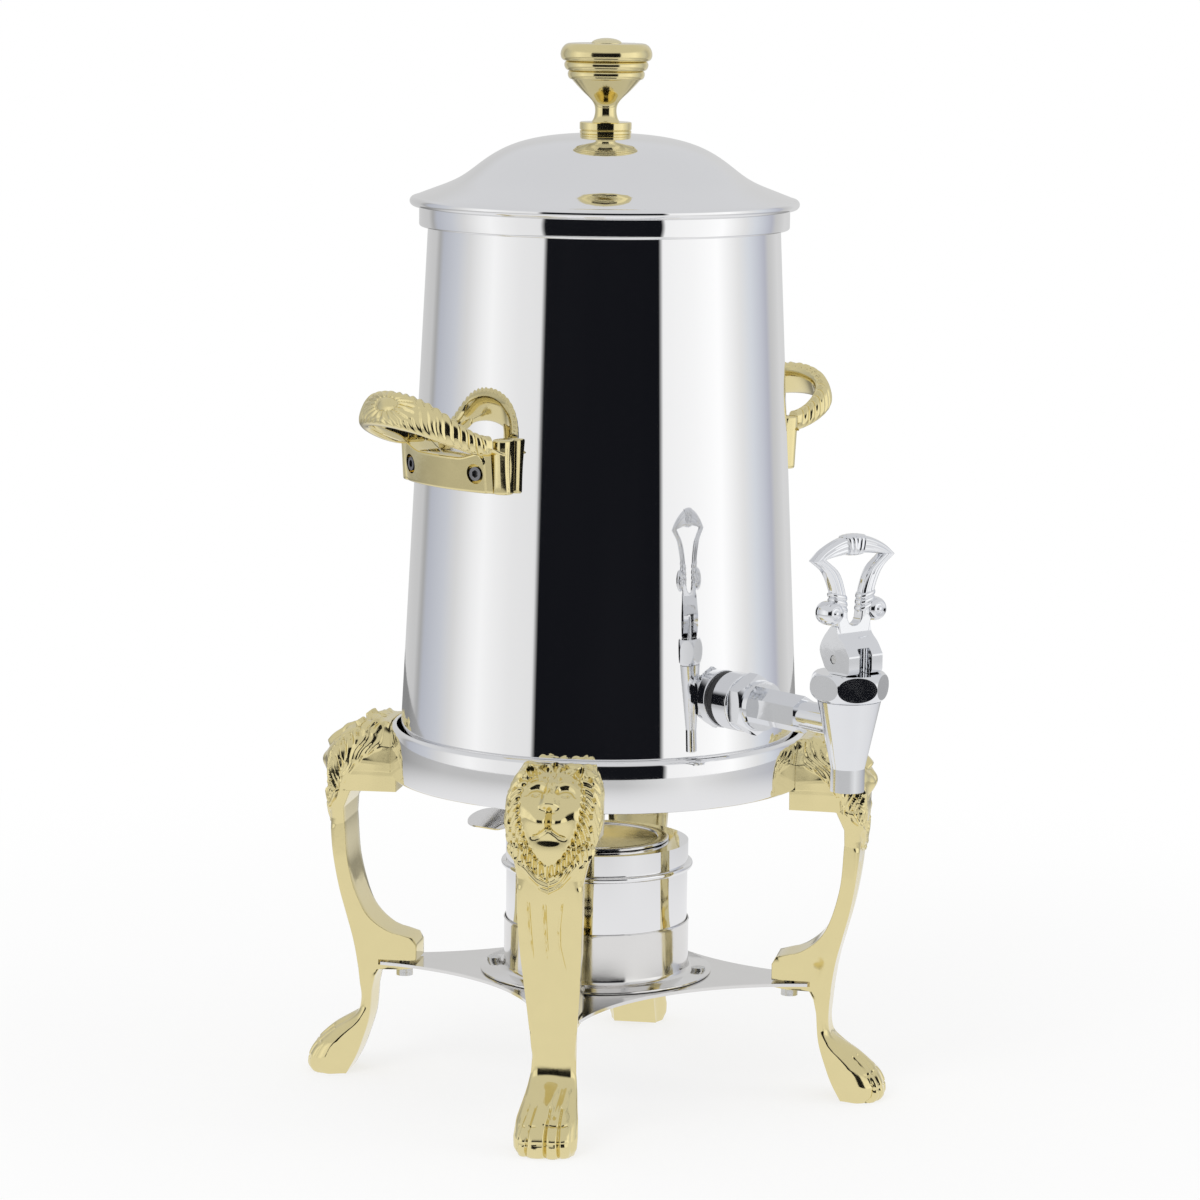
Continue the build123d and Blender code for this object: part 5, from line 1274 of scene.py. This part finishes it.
# ---------------------------------------------------------------- ring, band and cup
RING_PROFILE = [
    (92.8, 170.0), (92.8, 172.0), (102.75, 172.0), (102.75, 187.2), (102.95, 187.75), (103.4, 188.0),
    (104.0, 187.9), (104.8, 187.5), (105.45, 186.9), (105.9, 186.1), (106.1, 185.0), (106.1, 163.4),
    (105.9, 162.7), (105.4, 162.2), (104.6, 162.0), (103.2, 162.0), (102.85, 162.2), (102.75, 162.6),
    (102.75, 170.0), (92.8, 170.0),
]
BAND_PROFILE = [
    (87.45, 451.0), (87.45, 441.0), (91.9, 441.0), (92.4, 441.15), (92.75, 441.5), (92.9, 442.0),
    (92.9, 450.6), (92.8, 450.9), (92.5, 451.0), (87.45, 451.0),
]
CUP_PROFILE = [
    (0.0, 61.6), (46.7, 61.6), (46.7, 87.7), (46.9, 88.0), (47.3, 88.0), (47.5, 87.6), (47.35, 87.0),
    (47.3, 86.0), (47.3, 64.6), (47.6, 63.2), (48.4, 62.2), (49.8, 61.6), (58.7, 61.6), (59.2, 61.3),
    (59.3, 60.9), (59.1, 60.5), (58.6, 60.35), (0.0, 60.25),
]
TURNED_STEPS = 256
# Each piece's name, profile, finish and body, and the node that it stands for.
TURNED = [
    ("base_ring_rolled", RING_PROFILE, "mirror_steel", "stand", "base_ring"),
    ("top_band_rolled", BAND_PROFILE, "mirror_steel", "vessel", "top_band"),
    ("fuel_cup_spun", CUP_PROFILE, "sheet_steel", "stand", "fuel_cup"),
]


def make_turned():
    """Spun and rolled sheet: the base ring, the band round the mouth and the burner's holder."""
    for name, profile, finish, body, node in TURNED:
        piece(name, *lathe(profile, TURNED_STEPS), finish, body, (node,), 40.0)


# ---------------------------------------------------------------- damper
DAMPER_PROFILE = [
    (0.0, 128.7), (36.2, 128.7), (36.5, 129.0), (36.5, 129.8), (36.2, 130.05), (35.6, 130.1), (31.9, 130.1),
    (31.3, 129.9), (30.9, 129.5), (0.0, 129.5),
]
DAMPER_SHEET = (128.7, 129.5)  # heights of the sheet's two faces
DAMPER_EAR = (41.0, 169.8, 5.0)  # distance and angle of its centre, and its radius
TAB_ANGLE = 102.8
TAB_START = 33.0
TAB_END = 82.6
TAB_HALF_WIDTH = 9.0
TAB_TILT = 0.36  # the thumb tab is twisted, one edge up and the other down
TAB_TWIST = (47.5, 60.0)  # distances from the axis between which it turns
TAB_FACES = (129.45, 128.75)  # upper and lower, just inside the sheet's faces


def make_damper():
    """The pressed snuffer disc with its ear for the rivet and its bent thumb tab."""
    far, angle, radius = DAMPER_EAR
    centre = (far * cos(radians(angle)), far * sin(radians(angle)))
    low, high = DAMPER_SHEET
    ear = lathe([(0.0, low), (radius, low), (radius, high), (0.0, high)], 48, centre)
    disc = joined(lathe(DAMPER_PROFILE, TURNED_STEPS), ear)
    piece("damper_disc", *disc, "sheet_steel", "damper", ("damper_cover",), 35.0)
    out = np.array([cos(radians(TAB_ANGLE)), sin(radians(TAB_ANGLE))])
    side = np.array([-out[1], out[0]])
    rings = []
    places = list(np.linspace(TAB_START, TAB_END - TAB_HALF_WIDTH, 24))
    places += [TAB_END - TAB_HALF_WIDTH * (1 - sin(t)) for t in np.linspace(0, pi / 2 - 0.08, 14)[1:]]
    for place in places:
        past = max(0.0, place - (TAB_END - TAB_HALF_WIDTH))
        half = sqrt(max(0.0, TAB_HALF_WIDTH**2 - past**2))
        bent = float(smooth(place, *TAB_TWIST))
        ring = []
        across = np.linspace(-half, half, 15)
        for level, order in zip(TAB_FACES, (across, across[::-1])):
            for u in order:
                lift = bent * TAB_TILT * (0.1 * TAB_HALF_WIDTH - u)
                spot = out * place + side * u
                ring.append((spot[0], spot[1], level + lift))
        rings.append(ring)
    piece("damper_tab", *tube(rings), "sheet_steel", "damper", (), 40.0)


EASED_EDGES = {"faucet_bonnet": 0.9, "tap_locknut": 0.6, "faucet_body": 0.45, "tap_flange": 0.4}


def ease_nodes():
    """Rounded edges on the tap's plated castings."""
    for name, width in EASED_EDGES.items():
        node = NODES[name]
        node.data.polygons.foreach_set("use_smooth", [True] * len(node.data.polygons))
        bevel(node, width, 28.0, 3)


def dress_nodes():
    """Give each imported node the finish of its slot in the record."""
    slots = {part["node"]: part["material_slot"] for part in frame["record"]["subparts"]}
    for name, node in NODES.items():
        node.data.materials.clear()
        node.data.materials.append(FINISHES[slots.get(name, "mirror_steel")])


make_camera()
make_world()
make_floor()
make_lamps()
dress_nodes()
make_legs()
make_handles()
make_lever()
make_knob()
make_turned()
make_damper()
ease_nodes()

bpy.context.scene.view_settings.view_transform = "Standard"
